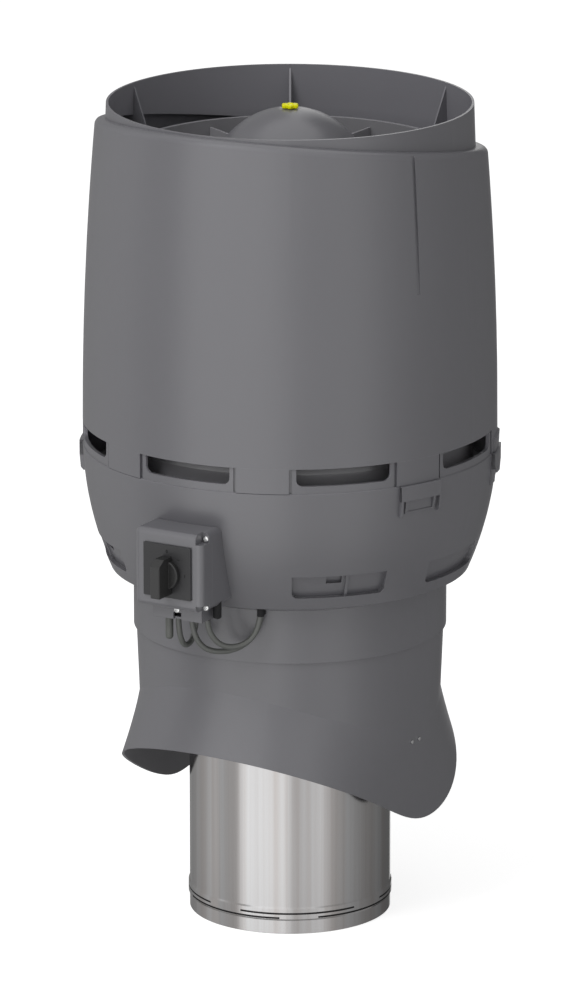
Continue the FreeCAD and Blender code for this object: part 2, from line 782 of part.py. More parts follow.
def hub_top():
    """Height of the hub's closed end, under the dome."""
    return cell.domeTop - cell.domeRadius - 8


def motor_hub():
    """Can over the motor, with a boss for the dome's stud and a rim for the motor plate."""
    low, top = cell.motorPlate + cell.motorPlateWall, hub_top()
    hub, skin = cell.hubRadius, cell.hubWall
    boss = cell.studRadius + cell.runGap
    can = revolve((hub, low), (hub, top), (boss, top), (boss, top - 3 * skin), (boss + 6, top - 3 * skin),
                  (boss + 6, top - skin), (hub - skin, top - skin), (hub - skin, low + skin),
                  (hub - 14, low + skin), (hub - 14, low))
    holes = plate_bars(cell.motorScrewRadius + cell.runGap, low - 1, low + skin + 1)[4:]
    return solid("motor_hub", can.cut(holes))


def guide_vanes():
    """Flat vanes between the hub and the duct, cut to the dome's shape."""
    inner = cell.hubRadius + cell.seatGap
    outer = cell.ductRadius - cell.ductWall - cell.seatGap
    top, low, half = cell.ductTop - cell.vaneDrop, cell.vaneLow, cell.vaneWall / 2
    above = hub_top() + cell.seatGap
    corners = [(inner, low + 25), (outer, low), (outer, top), (60, top), (60, above), (inner, above)]
    face = Part.Face(Part.makePolygon([Vector(-half, -r, h) for r, h in corners + corners[:1]]))
    vane = face.extrude(Vector(2 * half, 0, 0)).cut(revolve(*dome_outline(-2 * cell.seatGap)))
    count = int(cell.vaneCount)
    return group("guide_vanes", [turn_to(vane, number * 360 / count) for number in range(count)])


def motor_dome():
    wall = cell.domeWall
    outer = revolve(*dome_outline(0))
    inner = revolve(*dome_outline(wall))
    top = cell.domeTop
    bore = bar(cell.studRadius + cell.seatGap, Vector(0, 0, top - 20), Vector(0, 0, top + 5))
    flat = revolve((0, cell.domeTop - 1), (cell.knobRadius + 6, cell.domeTop - 1),
                   (cell.knobRadius + 6, cell.domeTop + 5), (0, cell.domeTop + 5))
    return solid("motor_dome", outer.cut([inner, bore, flat]))


def dome_knob():
    low = cell.domeTop - 1 + cell.seatGap
    high = low + cell.knobHeight
    radius, lobe = cell.knobRadius, cell.knobLobe
    core = radius - lobe
    body = revolve((0, low), (core, low), (core, high - 1.5), (core - 1.5, high), (0, high))
    for angle in range(0, 360, 60):
        place = polar(core, angle, low)
        wing = Part.makeCylinder(lobe, high - low - 0.4, place)
        rim = [edge for edge in wing.Edges if edge.BoundBox.ZMin > high - 1]
        body = body.fuse(wing.makeFillet(1, rim))
    bore = bar(cell.studRadius + cell.runGap, Vector(0, 0, low - 1), Vector(0, 0, high - 1.5))
    return solid("dome_knob", body.removeSplitter().cut(bore))


def dome_stud():
    tip = "topHeight - domeDrop - 1 + knobHeight - 2"
    top = "topHeight - domeDrop - hubRadius - domeReach - 8 - 3 * hubWall"
    turned("dome_stud", [
        ("0", f"{top} - 6"),
        ("studRadius + 2.5", f"{top} - 6"),
        ("studRadius + 2.5", f"{top} - runGap"),
        ("studRadius", f"{top} - runGap"),
        ("studRadius", tip),
        ("0", tip),
    ])


# Inlet: the partition with the pipe's socket, and the bell mouth on it

def inlet_plate():
    """Round partition with a socket for the steel pipe."""
    wall, low, rim = cell.plateWall, cell.plateHeight, cell.plateRadius
    socket = cell.pipeRadius + cell.seatGap
    plate = revolve((socket, cell.socketLow), (socket, low + wall), (rim, low + wall), (rim, low),
                    (socket + wall, low), (socket + wall, cell.socketLow))
    return solid("inlet_plate", plate.cut(flange_bars(2.2, low - 1, low + wall + 1)))


def inlet_nozzle():
    """Bell mouth that leads the air into the wheel."""
    wall, low, top = cell.plateWall, cell.plateHeight + cell.plateWall, cell.eyeTop
    throat, eye = cell.pipeRadius - cell.pipeWall, cell.eyeRadius

    def mouth(start, finish, base):
        """Arc from the pipe's wall up to the eye, nearly upright at the top."""
        bend = Vector(finish + (start - finish) * 0.2, 0, base + (top - base) * 0.55)
        return Part.Arc(Vector(start, 0, base), bend, Vector(finish, 0, top))

    inner = mouth(throat, eye, low)
    outer = mouth(throat + wall, eye + wall * 0.8, low + 2)
    middle = outer.value((outer.FirstParameter + outer.LastParameter) / 2)
    back = Part.Arc(outer.value(outer.LastParameter), middle, outer.value(outer.FirstParameter))
    rim = throat + 4 * wall
    return solid("inlet_nozzle", revolve(inner, back, (rim, low + 2), (rim, low)))


def flange_bars(radius, low, high):
    """Upright bars at the outlet duct's flange screws."""
    circle = cell.ductFootRadius + 4.5
    return [bar(radius, polar(circle, angle, low), polar(circle, angle, high))
            for angle in range(0, 360, 60)]


def duct_screws():
    seat = cell.plateHeight + cell.plateWall + cell.ductWall
    heads = flange_bars(3.6, seat, seat + 2.6)
    shanks = flange_bars(2.0, seat - 12, seat + 1)
    return group("duct_screws", [head.fuse(shank).removeSplitter() for head, shank in zip(heads, shanks)])


# Impeller with backward curved blades

def impeller():
    """Back plate with the blades, and the front ring that is welded on them."""
    wall = cell.wheelWall
    mouth = cell.eyeRadius + cell.plateWall * 0.8 + cell.wheelGap
    back = cell.wheelBack
    rim = cell.wheelRadius
    low, bend, high = cell.wheelMouthLow, cell.wheelMouthHigh, cell.wheelRimHeight
    ring = revolve((mouth, low), (mouth + wall, low), (mouth + wall, bend), (rim, high), (rim, high + wall),
                   (mouth, bend + wall))
    hubHole = cell.shaftRadius + 6
    plate = revolve((hubHole, back), (rim, back), (rim, back + wall), (hubHole, back + wall))
    room = revolve((mouth - 20, bend), (mouth + 1, bend + 1), (rim - 1, high + 1), (rim - 1, back + 1),
                   (mouth - 20, back + 1))
    reach = cell.bladeCurve
    centre = polar(cell.bladeCentre, 42, 0)
    tall = back - bend + 20
    blade = Part.makeCylinder(reach, tall, Vector(centre.x, centre.y, bend - 10))
    blade = blade.cut(Part.makeCylinder(reach - 2.2, tall, Vector(centre.x, centre.y, bend - 10)))
    wedge = sector(mouth - 18, rim - 1, bend - 10, back + 10, 3.5, 44)
    blade = blade.common(wedge).common(room).cut(ring)
    count = int(cell.bladeCount)
    blades = [turn_to(blade, number * 360 / count) for number in range(count)]
    solid("wheel_ring", ring)
    solid("impeller", plate.fuse(blades).removeSplitter())


# External rotor motor

def motor_parts():
    back = "jointHeight - plateDrop + eyeRise + mouthRise + bladeRise"
    base = f"{back} + wheelWall"
    top = f"{back} + rotorRise"
    plate = f"{back} + rotorRise + statorRise"
    bore = "shaftRadius + runGap"
    turned("motor_rotor", [
        (bore, base), ("rotorRadius", base), ("rotorRadius", top), ("rotorRadius - rotorWall", top),
        ("rotorRadius - rotorWall", f"{base} + rotorWall"), ("shaftRadius * 1.8", f"{base} + rotorWall"),
        ("shaftRadius * 1.8", f"{base} + rotorWall * 2"), (bore, f"{base} + rotorWall * 2"),
    ])
    turned("rotor_shaft", [
        ("0", f"{back} - 4"), ("shaftRadius", f"{back} - 4"),
        ("shaftRadius", f"{plate} - 2"), ("0", f"{plate} - 2"),
    ])
    for name, low in (("lower_bearing", f"{base} + rotorWall * 3 + 2"),
                      ("upper_bearing", f"{plate} - 3 - bearingWidth")):
        turned(name, [(bore, low), ("bearingRadius", low), ("bearingRadius", f"{low} + bearingWidth"),
                      (bore, f"{low} + bearingWidth")])


def motor_stator():
    low = cell.wheelBack + cell.wheelWall + 3 * cell.rotorWall
    seat, neck, flange = cell.bearingRadius + cell.runGap, 2 * cell.bearingRadius, cell.rotorRadius + 10
    top = cell.motorPlate
    stator = revolve((seat, low), (cell.statorRadius, low), (cell.statorRadius, cell.rotorTop - 6),
                     (neck, cell.rotorTop - 6), (neck, top - 6), (flange, top - 6), (flange, top),
                     (seat, top))
    holes = plate_bars(cell.motorScrewRadius + cell.runGap, top - 7, top + 1)[:4]
    return solid("motor_stator", stator.cut(holes))


def plate_bars(radius, low, high):
    """Upright bars at the motor plate's screws, first the inner circle and then the outer one."""
    places = [polar(circle, angle, 0) for circle in (cell.motorBoltCircle, cell.hubRadius - 8)
              for angle in range(45, 405, 90)]
    return [bar(radius, Vector(place.x, place.y, low), Vector(place.x, place.y, high)) for place in places]


def motor_plate():
    low = cell.motorPlate
    high = low + cell.motorPlateWall
    plate = revolve((cell.shaftRadius * 2, low), (cell.hubRadius, low), (cell.hubRadius, high),
                    (cell.shaftRadius * 2, high))
    return solid("motor_plate", plate.cut(plate_bars(cell.motorScrewRadius + 0.2, low - 1, high + 1)))


def motor_screws():
    low = cell.motorPlate
    high = low + cell.motorPlateWall
    shank, head = cell.motorScrewRadius, cell.motorScrewRadius * 1.7
    inner = zip(plate_bars(head, high, high + 3.5)[:4], plate_bars(shank, low - 5.5, high + 1)[:4])
    outer = zip(plate_bars(head, low - 3.5, low)[4:], plate_bars(shank, low - 1, high + cell.hubWall)[4:])
    pairs = list(inner) + list(outer)
    return group("motor_screws", [cap.fuse(stem).removeSplitter() for cap, stem in pairs])


# Isolator switch: base on the bowl, cover, dial plate, knob, spindle, contact block, screws

def box_span(inset):
    """Left and right sides, bottom and top of the switch box, inset by a wall."""
    half = cell.boxWidth / 2 - inset
    return -half, half, cell.boxLow + inset, cell.boxHigh - inset


def screw_places():
    """Where the cover's screws sit: the two right corners and the middle of the flap."""
    side = cell.boxWidth / 2 - cell.sideScrew
    return [(side, cell.boxHigh - cell.upperScrew), (side, cell.boxLow + cell.lowerScrew),
            (0, cell.boxLow - cell.flapScrew)]


def notches(grow):
    """Room for the screws at the cover's right corners."""
    cuts = []
    front = -cell.boxFace - 1
    for number, (across, up) in enumerate(screw_places()[:2]):
        half = cell.notchSide / 2 + grow
        low, high = up - half, up + half
        if number == 0:
            high += 5
        else:
            low -= 5
        back = -cell.boxFace + cell.notchDepth + grow
        cuts.append(block((across - half, front, low), (across + half + 5, back, high)))
    return cuts


def flap_face():
    """Distance from the fan's axis of the face of the cover's lower flap."""
    return cell.boxSplit + cell.boxWall


def seat_depth(number):
    """Distance from the fan's axis of the face that a cover screw's head sits on."""
    return cell.boxFace - cell.notchDepth if number < 2 else flap_face()


def screw_shafts(radius, near, far):
    """Bars along the cover screws' axes between two depths."""
    return [bar(radius, Vector(across, -far, up), Vector(across, -near, up))
            for across, up in screw_places()]


def rounded(shape, radius, front=None):
    """A box with its edges along Y rounded, and those of its front face too if its depth is given."""
    edges = [edge for edge in shape.Edges if edge.BoundBox.YLength > 5
             or front is not None and abs(edge.BoundBox.YMax + front) < 1e-3]
    return shape.makeFillet(radius, edges)


def switch_cover():
    left, right, low, high = box_span(0)
    face, split, flap = cell.boxFace, cell.boxSplit, flap_face()
    shell = block((left, -face, low), (right, -split - cell.runGap, high))
    shell = rounded(shell, cell.boxRound, face)
    half = cell.glandHalf
    tab = block((-half, -flap, cell.glandLow), (half, -split - cell.runGap, low + 2))
    shell = shell.fuse(tab).removeSplitter()
    innerLeft, innerRight, innerLow, innerHigh = box_span(cell.boxWall)
    hollow = block((innerLeft, -face + cell.boxWall, innerLow), (innerRight, -split + 1, innerHigh))
    hollow = rounded(hollow, cell.boxRound - cell.boxWall, face - cell.boxWall)
    hollow = hollow.cut(notches(cell.boxWall - 0.5))
    notch = block((-cell.flapNotch, -flap - 1, cell.glandLow - 1),
                  (cell.flapNotch, -split, cell.boxLow - cell.flapScrew - cell.screwHead))
    spindle = bar(cell.spindleRadius + cell.seatGap, Vector(0, -face - 1, cell.axisHeight),
                  Vector(0, -split, cell.axisHeight))
    shafts = screw_shafts(cell.screwRadius + cell.seatGap, cell.boxFloor, face)
    return solid("switch_cover", shell.cut([hollow, notch, spindle] + notches(0) + shafts))


def post_blocks():
    """Posts in the base that the cover's screws go into; the middle one hangs from the box's bottom."""
    half = cell.screwRadius + 1.8
    return [block((across - half, -cell.boxSplit, up - half),
                  (across + half, -cell.boxFloor, up + half if up > cell.boxLow else cell.boxLow + 1))
            for across, up in screw_places()]


def exit_places():
    """Where the three cables leave the box, and last the blind plug."""
    return [Vector(getattr(cell, alias), -cell.cableDepth, cell.glandLow)
            for alias in ("supplyExit", "motorExit", "linkExit", "plugExit")]


def bush_radius():
    return cell.cableRadius + cell.bushWall


def base_screw_bars(radius, near, far):
    """Bars at the two screws that hold the box on the bowl, between two depths."""
    across = cell.boxWidth / 2 - 15.5
    up = cell.boxHigh - cell.boxScrewInset
    return [bar(radius, Vector(side * across, -near, up), Vector(side * across, -far, up))
            for side in (-1, 1)]


def switch_base():
    left, right, low, high = box_span(0)
    wall, split, floor = cell.boxWall, cell.boxSplit, cell.boxFloor
    half, under, rear = cell.glandHalf, cell.glandLow, cell.jointRadius - cell.glandBack
    body = rounded(block((left, -split, low), (right, -cell.boxBack, high)), cell.boxRound)
    body = body.fuse(block((-half, -split, under), (half, -rear, low + 2))).removeSplitter()
    innerLeft, innerRight, innerLow, innerHigh = box_span(wall)
    posts = post_blocks()
    inside = cell.boxRound - wall
    front = rounded(block((innerLeft, -split - 1, innerLow), (innerRight, -floor, innerHigh)), inside)
    front = front.cut(posts[:2])
    back = block((innerLeft, -floor + wall, innerLow), (innerRight, -cell.boxBack + 5, innerHigh))
    back = rounded(back, inside)
    boss = cell.padRadius + wall
    back = back.cut(block((cell.padAcross - boss, -cell.padDepth - boss, low),
                          (cell.padAcross + boss, -cell.padDepth + boss, low + 3 * wall)))
    skin = wall - 0.5
    gland = block((-half + skin, -split - 1, under + wall), (half - skin, -rear - skin, low))
    gland = gland.cut(posts[2:])
    passages = [block((side - 10, -split + wall, low - 1), (side + 10, -floor - wall, low + wall + 1))
                for side in (-17, 17)]
    bores = []
    for number, place in enumerate(exit_places()):
        radius = bush_radius() if number < 3 else cell.plugRadius
        bores.append(Part.makeCylinder(radius + cell.runGap, 2 * wall, place - Vector(0, 0, wall)))
    pad = Part.makeCylinder(cell.padRadius + cell.runGap, 2 * wall + 1,
                            Vector(cell.padAcross, -cell.padDepth, low - 1))
    pilots = screw_shafts(cell.screwRadius + cell.runGap, floor - wall - 1, split + 1)
    pilots += base_screw_bars(cell.screwRadius + cell.seatGap, floor + 1, floor - wall - 1)
    cuts = [front, back, gland, pad, bowl_outside(cell.seatGap)] + passages + bores + pilots
    return solid("switch_base", max(body.cut(cuts).Solids, key=lambda piece: piece.Volume))


def switch_plate():
    half = cell.dialSide / 2
    back = -cell.boxFace - cell.runGap
    middle = cell.dialHeight
    plate = block((-half, back - cell.dialWall, middle - half), (half, back, middle + half))
    corners = [edge for edge in plate.Edges if abs(abs(edge.CenterOfMass.x) - half) < 1e-6
               and abs(abs(edge.CenterOfMass.z - cell.dialHeight) - half) < 1e-6]
    plate = plate.makeFillet(1, corners)
    hole = bar(cell.spindleRadius + cell.seatGap, Vector(0, back + 1, cell.axisHeight),
               Vector(0, back - cell.dialWall - 1, cell.axisHeight))
    return solid("switch_plate", plate.cut(hole))


def knob_back():
    """Depth of the knob's rear face, clear of the dial plate."""
    return cell.boxFace + cell.dialWall + cell.runGap + cell.seatGap


def switch_knob():
    back, axis = knob_back(), cell.axisHeight
    front = cell.boxFace + cell.dialWall + cell.gripReach
    step = back + cell.discWall
    disc = bar(cell.discRadius, Vector(0, -back, axis), Vector(0, -step, axis))
    disc = disc.makeChamfer(1, [edge for edge in disc.Edges if abs(edge.CenterOfMass.y + step) < 1e-6])
    # the grip's upper end slopes down towards its front
    half, low, high = cell.gripWidth / 2, axis - cell.gripBelow, axis + cell.gripAbove
    inner = -back - 1
    side = [(inner, low), (-front, low), (-front, high - cell.gripSlope),
            (-front + cell.gripSlopeReach, high), (inner, high)]
    grip = Part.Face(Part.makePolygon([Vector(-half, y, z) for y, z in side + side[:1]]))
    grip = grip.extrude(Vector(2 * half, 0, 0))
    ends = [edge for edge in grip.Edges if edge.BoundBox.YMax < -front + 0.1]
    grip = grip.makeChamfer(1.2, ends)
    bore = bar(cell.spindleRadius + cell.runGap, Vector(0, -back + 1, axis), Vector(0, -step - 12, axis))
    return solid("switch_knob", disc.fuse(grip).removeSplitter().cut(bore))


def switch_spindle():
    axis = cell.axisHeight
    tip = knob_back() + cell.discWall + 11
    inner = cell.boxFloor + 8
    return solid("switch_spindle", bar(cell.spindleRadius, Vector(0, -inner, axis), Vector(0, -tip, axis)))


def contact_block():
    half, axis, floor = cell.blockSide / 2, cell.axisHeight, cell.boxFloor
    body = block((-half, -cell.boxFace + 12, axis - half), (half, -floor - cell.runGap, axis + half))
    bore = bar(cell.spindleRadius + cell.runGap, Vector(0, -cell.boxFace, axis), Vector(0, -floor - 7, axis))
    return solid("contact_block", body.cut(bore))


def box_screws():
    """Three screws in the cover and two through the base into the bowl."""
    screws = []
    for number, (across, up) in enumerate(screw_places()):
        seat = seat_depth(number)
        head = bar(cell.screwHead, Vector(across, -seat, up), Vector(across, -seat - 2.4, up))
        tip = seat - cell.screwLength
        shank = bar(cell.screwRadius, Vector(across, -seat - 1, up), Vector(across, -tip, up))
        screws.append(head.fuse(shank).removeSplitter())
    floor = cell.boxFloor
    heads = base_screw_bars(cell.screwHead, floor + 2.4, floor)
    shanks = base_screw_bars(cell.screwRadius, floor + 1, floor - cell.screwLength + 5)
    screws += [head.fuse(shank).removeSplitter() for head, shank in zip(heads, shanks)]
    return group("box_screws", screws)


def box_pad():
    radius, low = cell.padRadius, cell.boxLow
    drop = cell.padDrop
    place = Vector(cell.padAcross, -cell.padDepth, low - drop)
    pad = Part.makeCylinder(radius, drop + 2 * cell.boxWall - cell.seatGap, place)
    lower = [edge for edge in pad.Edges if edge.BoundBox.ZMax < low - drop + 1]
    return solid("box_pad", pad.makeFillet(3, lower))


def blind_plug():
    place = exit_places()[3] - Vector(0, 0, cell.plugLength)
    plug = Part.makeCylinder(cell.plugRadius, cell.plugLength + 2 * cell.boxWall, place)
    lower = [edge for edge in plug.Edges if edge.BoundBox.ZMax < place.z + 1]
    return solid("blind_plug", plug.makeFillet(cell.plugRadius * 0.9, lower))


# Cables: straight runs joined by tangent arcs, from the box down and up into the bowl

def cable_routes():
    """Corners of the three cables' routes: supply, motor and link. The ends stand upright."""
    routes = []
    starts = exit_places()
    top = cell.bowlFootHeight + 4
    for number, name in enumerate(("supply", "motor", "link")):
        start = starts[number] + Vector(0, 0, 2 * cell.boxWall)
        angle = cell.linkAngle if name == "link" else cell.entryAngle
        finish = polar(getattr(cell, name + "Entry"), angle, top)
        low = getattr(cell, name + "Low")
        # a long cable has a corner at each end and two below, the short link has two corners only
        steps = ((0, 0), (1, 0))
        if name != "link":
            rise, near, far = (getattr(cell, name + part) for part in ("Rise", "Near", "Far"))
            steps = ((0, rise), (near, 0), (far, 0), (1, rise))
        corners = [Vector(start.x + (finish.x - start.x) * t, start.y + (finish.y - start.y) * t, low + lift)
                   for t, lift in steps]
        routes.append([start] + corners + [finish])
    return routes


def cord(name, route):
    edges = []
    start = route[0]
    for before, corner, after in zip(route, route[1:], route[2:]):
        into, out = corner - before, after - corner
        reach = 0.45 * min(into.Length, out.Length)
        into.normalize()
        out.normalize()
        half = into.getAngle(out) / 2
        radius = reach / math.tan(half)
        inward = out - into
        inward.normalize()
        first = corner - into * reach
        last = corner + out * reach
        middle = corner + inward * (radius / math.cos(half) - radius)
        edges += [Part.LineSegment(start, first).toShape(), Part.Arc(first, middle, last).toShape()]
        start = last
        print(name, "bend radius", round(radius, 1))
    edges.append(Part.LineSegment(start, route[-1]).toShape())
    length = sum(edge.Length for edge in edges)
    ring = Part.Wire(Part.Circle(route[0], route[1] - route[0], cell.cableRadius).toShape())
    tube = Part.Wire(edges).makePipeShell([ring], True, False)
    ratio = tube.Volume / (math.pi * cell.cableRadius ** 2 * length)
    print(name, "length", round(length, 1), "volume ratio", round(ratio, 4))
    return solid(name, tube)


def cable_bushes():
    """Rubber bushes where the cables leave the box and go into the bowl."""
    bushes = []
    radius = bush_radius()
    hole = cell.cableRadius + cell.runGap
    for place in exit_places()[:3]:
        bush = Part.makeCylinder(radius, cell.boxWall + 2, place - Vector(0, 0, 2))
        bushes.append(bush.cut(Part.makeCylinder(hole, 20, place - Vector(0, 0, 10))))
    for route in cable_routes():
        foot = route[-1] - Vector(0, 0, cell.bowlFootHeight - cell.neckHeight + 6)
        bush = bar(radius, foot, route[-1] - Vector(0, 0, 1))
        bushes.append(bush.cut(bar(hole, foot - Vector(0, 0, 5), route[-1] + Vector(0, 0, 5))))
    return group("cable_bushes", bushes)


for build in (duct_pipe, pipe_seal, roof_collar, riser_insulation, collar_rivets, lower_housing, hood,
              hood_clips, outlet_duct, motor_hub, guide_vanes, motor_dome, dome_knob, dome_stud, inlet_plate,
              inlet_nozzle, duct_screws, impeller, motor_parts, motor_stator, motor_plate, motor_screws,
              switch_cover, switch_base, switch_plate, switch_knob, switch_spindle, contact_block,
              box_screws, box_pad, blind_plug, cable_bushes):
    build()
for name, route in zip(("supply_cable", "motor_cable", "link_cable"), cable_routes()):
    cord(name, route)
doc.recompute()

for item in doc.Objects:
    assert "Invalid" not in item.State and "Error" not in item.State, item.Name
for name, feature in pieces.items():
    shape = feature.Shape
    assert not shape.isNull() and shape.isValid(), name
    print(name, "solids", len(shape.Solids), "volume", round(shape.Volume / 1000, 1), "cm3")
    shape.exportStep(f"parts/{name}.step")
print(len(pieces), "files written")
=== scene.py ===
import bmesh
import bpy
import json
import math
import numpy as np
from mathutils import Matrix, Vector


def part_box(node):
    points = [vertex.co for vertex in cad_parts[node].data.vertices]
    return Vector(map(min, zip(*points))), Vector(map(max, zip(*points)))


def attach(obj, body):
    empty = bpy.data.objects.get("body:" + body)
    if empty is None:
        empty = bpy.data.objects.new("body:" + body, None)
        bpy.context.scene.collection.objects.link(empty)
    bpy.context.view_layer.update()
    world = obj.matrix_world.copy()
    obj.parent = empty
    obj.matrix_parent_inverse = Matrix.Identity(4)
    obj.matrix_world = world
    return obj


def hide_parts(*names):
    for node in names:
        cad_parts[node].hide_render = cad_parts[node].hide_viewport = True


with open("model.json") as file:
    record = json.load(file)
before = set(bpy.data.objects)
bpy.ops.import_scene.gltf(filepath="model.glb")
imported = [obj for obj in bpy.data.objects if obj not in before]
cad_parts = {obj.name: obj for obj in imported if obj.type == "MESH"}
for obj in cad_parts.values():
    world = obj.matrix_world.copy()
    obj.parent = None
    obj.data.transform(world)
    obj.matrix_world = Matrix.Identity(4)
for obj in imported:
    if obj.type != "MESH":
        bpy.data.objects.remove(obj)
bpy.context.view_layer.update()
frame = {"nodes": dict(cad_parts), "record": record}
nodes = frame["nodes"]
scene = bpy.context.scene
print("stage: frame loaded,", len(nodes), "nodes")


# camera: 30 degrees to the right of the switch, a little from above
cameraView = {
    "azimuth": 30.0,      # degrees from the front towards +X
    "distance": 8.361,    # metres from the fan's axis, along the floor
    "height": 2.798,
    "pitch": 15.24,       # degrees down
    "lens": 253.6,        # mm, with the sensor along the picture's long side
    "sensor": 36.0,
    "shift": 0.0019,
    "farthest": 60.0,     # metres
}


def roundAxis(values):
    # a place by its angle from the front, its distance from the fan's axis and its height
    turn = math.radians(values["azimuth"])
    return values["distance"] * math.sin(turn), -values["distance"] * math.cos(turn), values["height"]


def placeCamera(values):
    data = bpy.data.cameras.new("studioCamera")
    data.sensor_width = values["sensor"]
    data.lens = values["lens"]
    data.shift_x = values["shift"]
    data.clip_end = values["farthest"]
    camera = bpy.data.objects.new("studioCamera", data)
    scene.collection.objects.link(camera)
    camera.location = roundAxis(values)
    camera.rotation_euler = (math.radians(90 - values["pitch"]), 0, math.radians(values["azimuth"]))
    scene.camera = camera


placeCamera(cameraView)
print("stage: camera placed")


# node helpers
def addNode(tree, kind, at=(0, 0), **settings):
    # a setting goes to the node's own attribute of that name, or else to the socket of that name
    node = tree.nodes.new(kind)
    node.location = at
    for key, value in settings.items():
        if hasattr(node, key):
            setattr(node, key, value)
        else:
            node.inputs[key.replace("_", " ")].default_value = value
    return node


def addMath(tree, operation, *terms, at=(0, 0)):
    # a Math node whose terms are sockets or plain numbers; gives back its output
    node = addNode(tree, "ShaderNodeMath", at, operation=operation)
    for socket, term in zip(node.inputs, terms):
        if isinstance(term, bpy.types.NodeSocket):
            tree.links.new(term, socket)
        else:
            socket.default_value = term
    return node.outputs[0]


def startGroup(name, inputs, outputs):
    # a shader node group: each input is (kind, name, value), each output is (kind, name)
    group = bpy.data.node_groups.new(name, "ShaderNodeTree")
    for kind, label, value in inputs:
        socket = group.interface.new_socket(label, in_out="INPUT", socket_type="NodeSocket" + kind)
        socket.default_value = value
    for kind, label in outputs:
        group.interface.new_socket(label, in_out="OUTPUT", socket_type="NodeSocket" + kind)
    return group, group.nodes.new("NodeGroupInput"), group.nodes.new("NodeGroupOutput")


def placeGroup(tree, group, at, **values):
    node = tree.nodes.new("ShaderNodeGroup")
    node.node_tree = group
    node.location = at
    for key, value in values.items():
        node.inputs[key].default_value = value
    return node


def varySurface(group, start, end, colourNoise, roughNoise):
    # colour = Colour (1 + Drift (noise - 0.5)), roughness = Rough + Spread (noise - 0.5)
    link = group.links.new
    drift = addMath(group, "SUBTRACT", colourNoise, 0.5)
    level = addMath(group, "MULTIPLY_ADD", drift, start.outputs["Drift"], 1.0)
    tint = addNode(group, "ShaderNodeVectorMath", operation="SCALE")
    link(start.outputs["Colour"], tint.inputs[0])
    link(level, tint.inputs["Scale"])
    link(tint.outputs[0], end.inputs["Colour"])
    spread = addMath(group, "SUBTRACT", roughNoise, 0.5)
    rough = addMath(group, "MULTIPLY_ADD", spread, start.outputs["Spread"], start.outputs["Rough"])
    link(rough, end.inputs["Roughness"])


# shared effects
grainSizes = {
    "grainDetail": 3.0, "grainRough": 0.6,
    "pebbleShare": 0.7,     # the pebbles' scale as a share of the grain's
    "driftScale": 7.0, "driftDetail": 4.0, "driftRough": 0.55,
}


def buildMouldGrain(values):
    # fine leather-like grain of moulded plastic: noise and pebbles, with a slow drift of the colour
    group, start, end = startGroup(
        "mouldGrain",
        [("Color", "Colour", (0.2, 0.2, 0.2, 1)), ("Float", "Scale", 900.0), ("Float", "Drift", 0.06),
         ("Float", "Rough", 0.5), ("Float", "Spread", 0.08)],
        [("Color", "Colour"), ("Float", "Roughness"), ("Float", "Height")])
    link = group.links.new
    place = addNode(group, "ShaderNodeTexCoord")
    grain = addNode(group, "ShaderNodeTexNoise", Detail=values["grainDetail"],
                    Roughness=values["grainRough"])
    pebble = addNode(group, "ShaderNodeTexVoronoi", feature="SMOOTH_F1")
    slow = addNode(group, "ShaderNodeTexNoise", Scale=values["driftScale"], Detail=values["driftDetail"],
                   Roughness=values["driftRough"])
    for node in (grain, pebble, slow):
        link(place.outputs["Object"], node.inputs["Vector"])
    link(start.outputs["Scale"], grain.inputs["Scale"])
    link(addMath(group, "MULTIPLY", start.outputs["Scale"], values["pebbleShare"]), pebble.inputs["Scale"])
    link(addMath(group, "ADD", grain.outputs["Fac"], pebble.outputs["Distance"]), end.inputs["Height"])
    varySurface(group, start, end, slow.outputs["Fac"], slow.outputs["Fac"])
    return group


edgeHighlightSizes = {
    "radius": 0.0009, "detail": 5.0,
    "flat": 0.995, "edge": 0.9,      # cosines between the rounded normal and the flat one
    "unlit": 0.35, "highlit": 0.6,     # levels of the noise
}


def buildEdgeHighlight(values):
    # 1 where a rounded normal leaves the flat one, that is along the edges, broken up by noise: the mask of
    # a painted edge highlight
    group, start, end = startGroup("paintedEdgeHighlight", [("Float", "Amount", 0.5), ("Float", "Scale", 160.0)],
                                   [("Float", "Mask")])
    link = group.links.new
    soft = addNode(group, "ShaderNodeBevel", samples=4, Radius=values["radius"])
    surface = addNode(group, "ShaderNodeNewGeometry")
    dot = addNode(group, "ShaderNodeVectorMath", operation="DOT_PRODUCT")
    link(soft.outputs[0], dot.inputs[0])
    link(surface.outputs["Normal"], dot.inputs[1])
    edge = addNode(group, "ShaderNodeMapRange", From_Min=values["flat"], From_Max=values["edge"])
    link(dot.outputs["Value"], edge.inputs["Value"])
    place = addNode(group, "ShaderNodeTexCoord")
    noise = addNode(group, "ShaderNodeTexNoise", Detail=values["detail"])
    link(place.outputs["Object"], noise.inputs["Vector"])
    link(start.outputs["Scale"], noise.inputs["Scale"])
    broken = addNode(group, "ShaderNodeMapRange", From_Min=values["unlit"], From_Max=values["highlit"])
    link(noise.outputs["Fac"], broken.inputs["Value"])
    both = addMath(group, "MULTIPLY", edge.outputs[0], broken.outputs[0])
    link(addMath(group, "MULTIPLY", both, start.outputs["Amount"]), end.inputs["Mask"])
    return group


lineSizes = {
    "fineDetail": 3.0, "fineRough": 0.7,
    "broadScale": 0.2, "broadDetail": 3.0, "broadRough": 0.6, "broadLow": 0.36, "broadHigh": 0.64,
    "roughScale": 9.0, "roughDetail": 3.0,
}


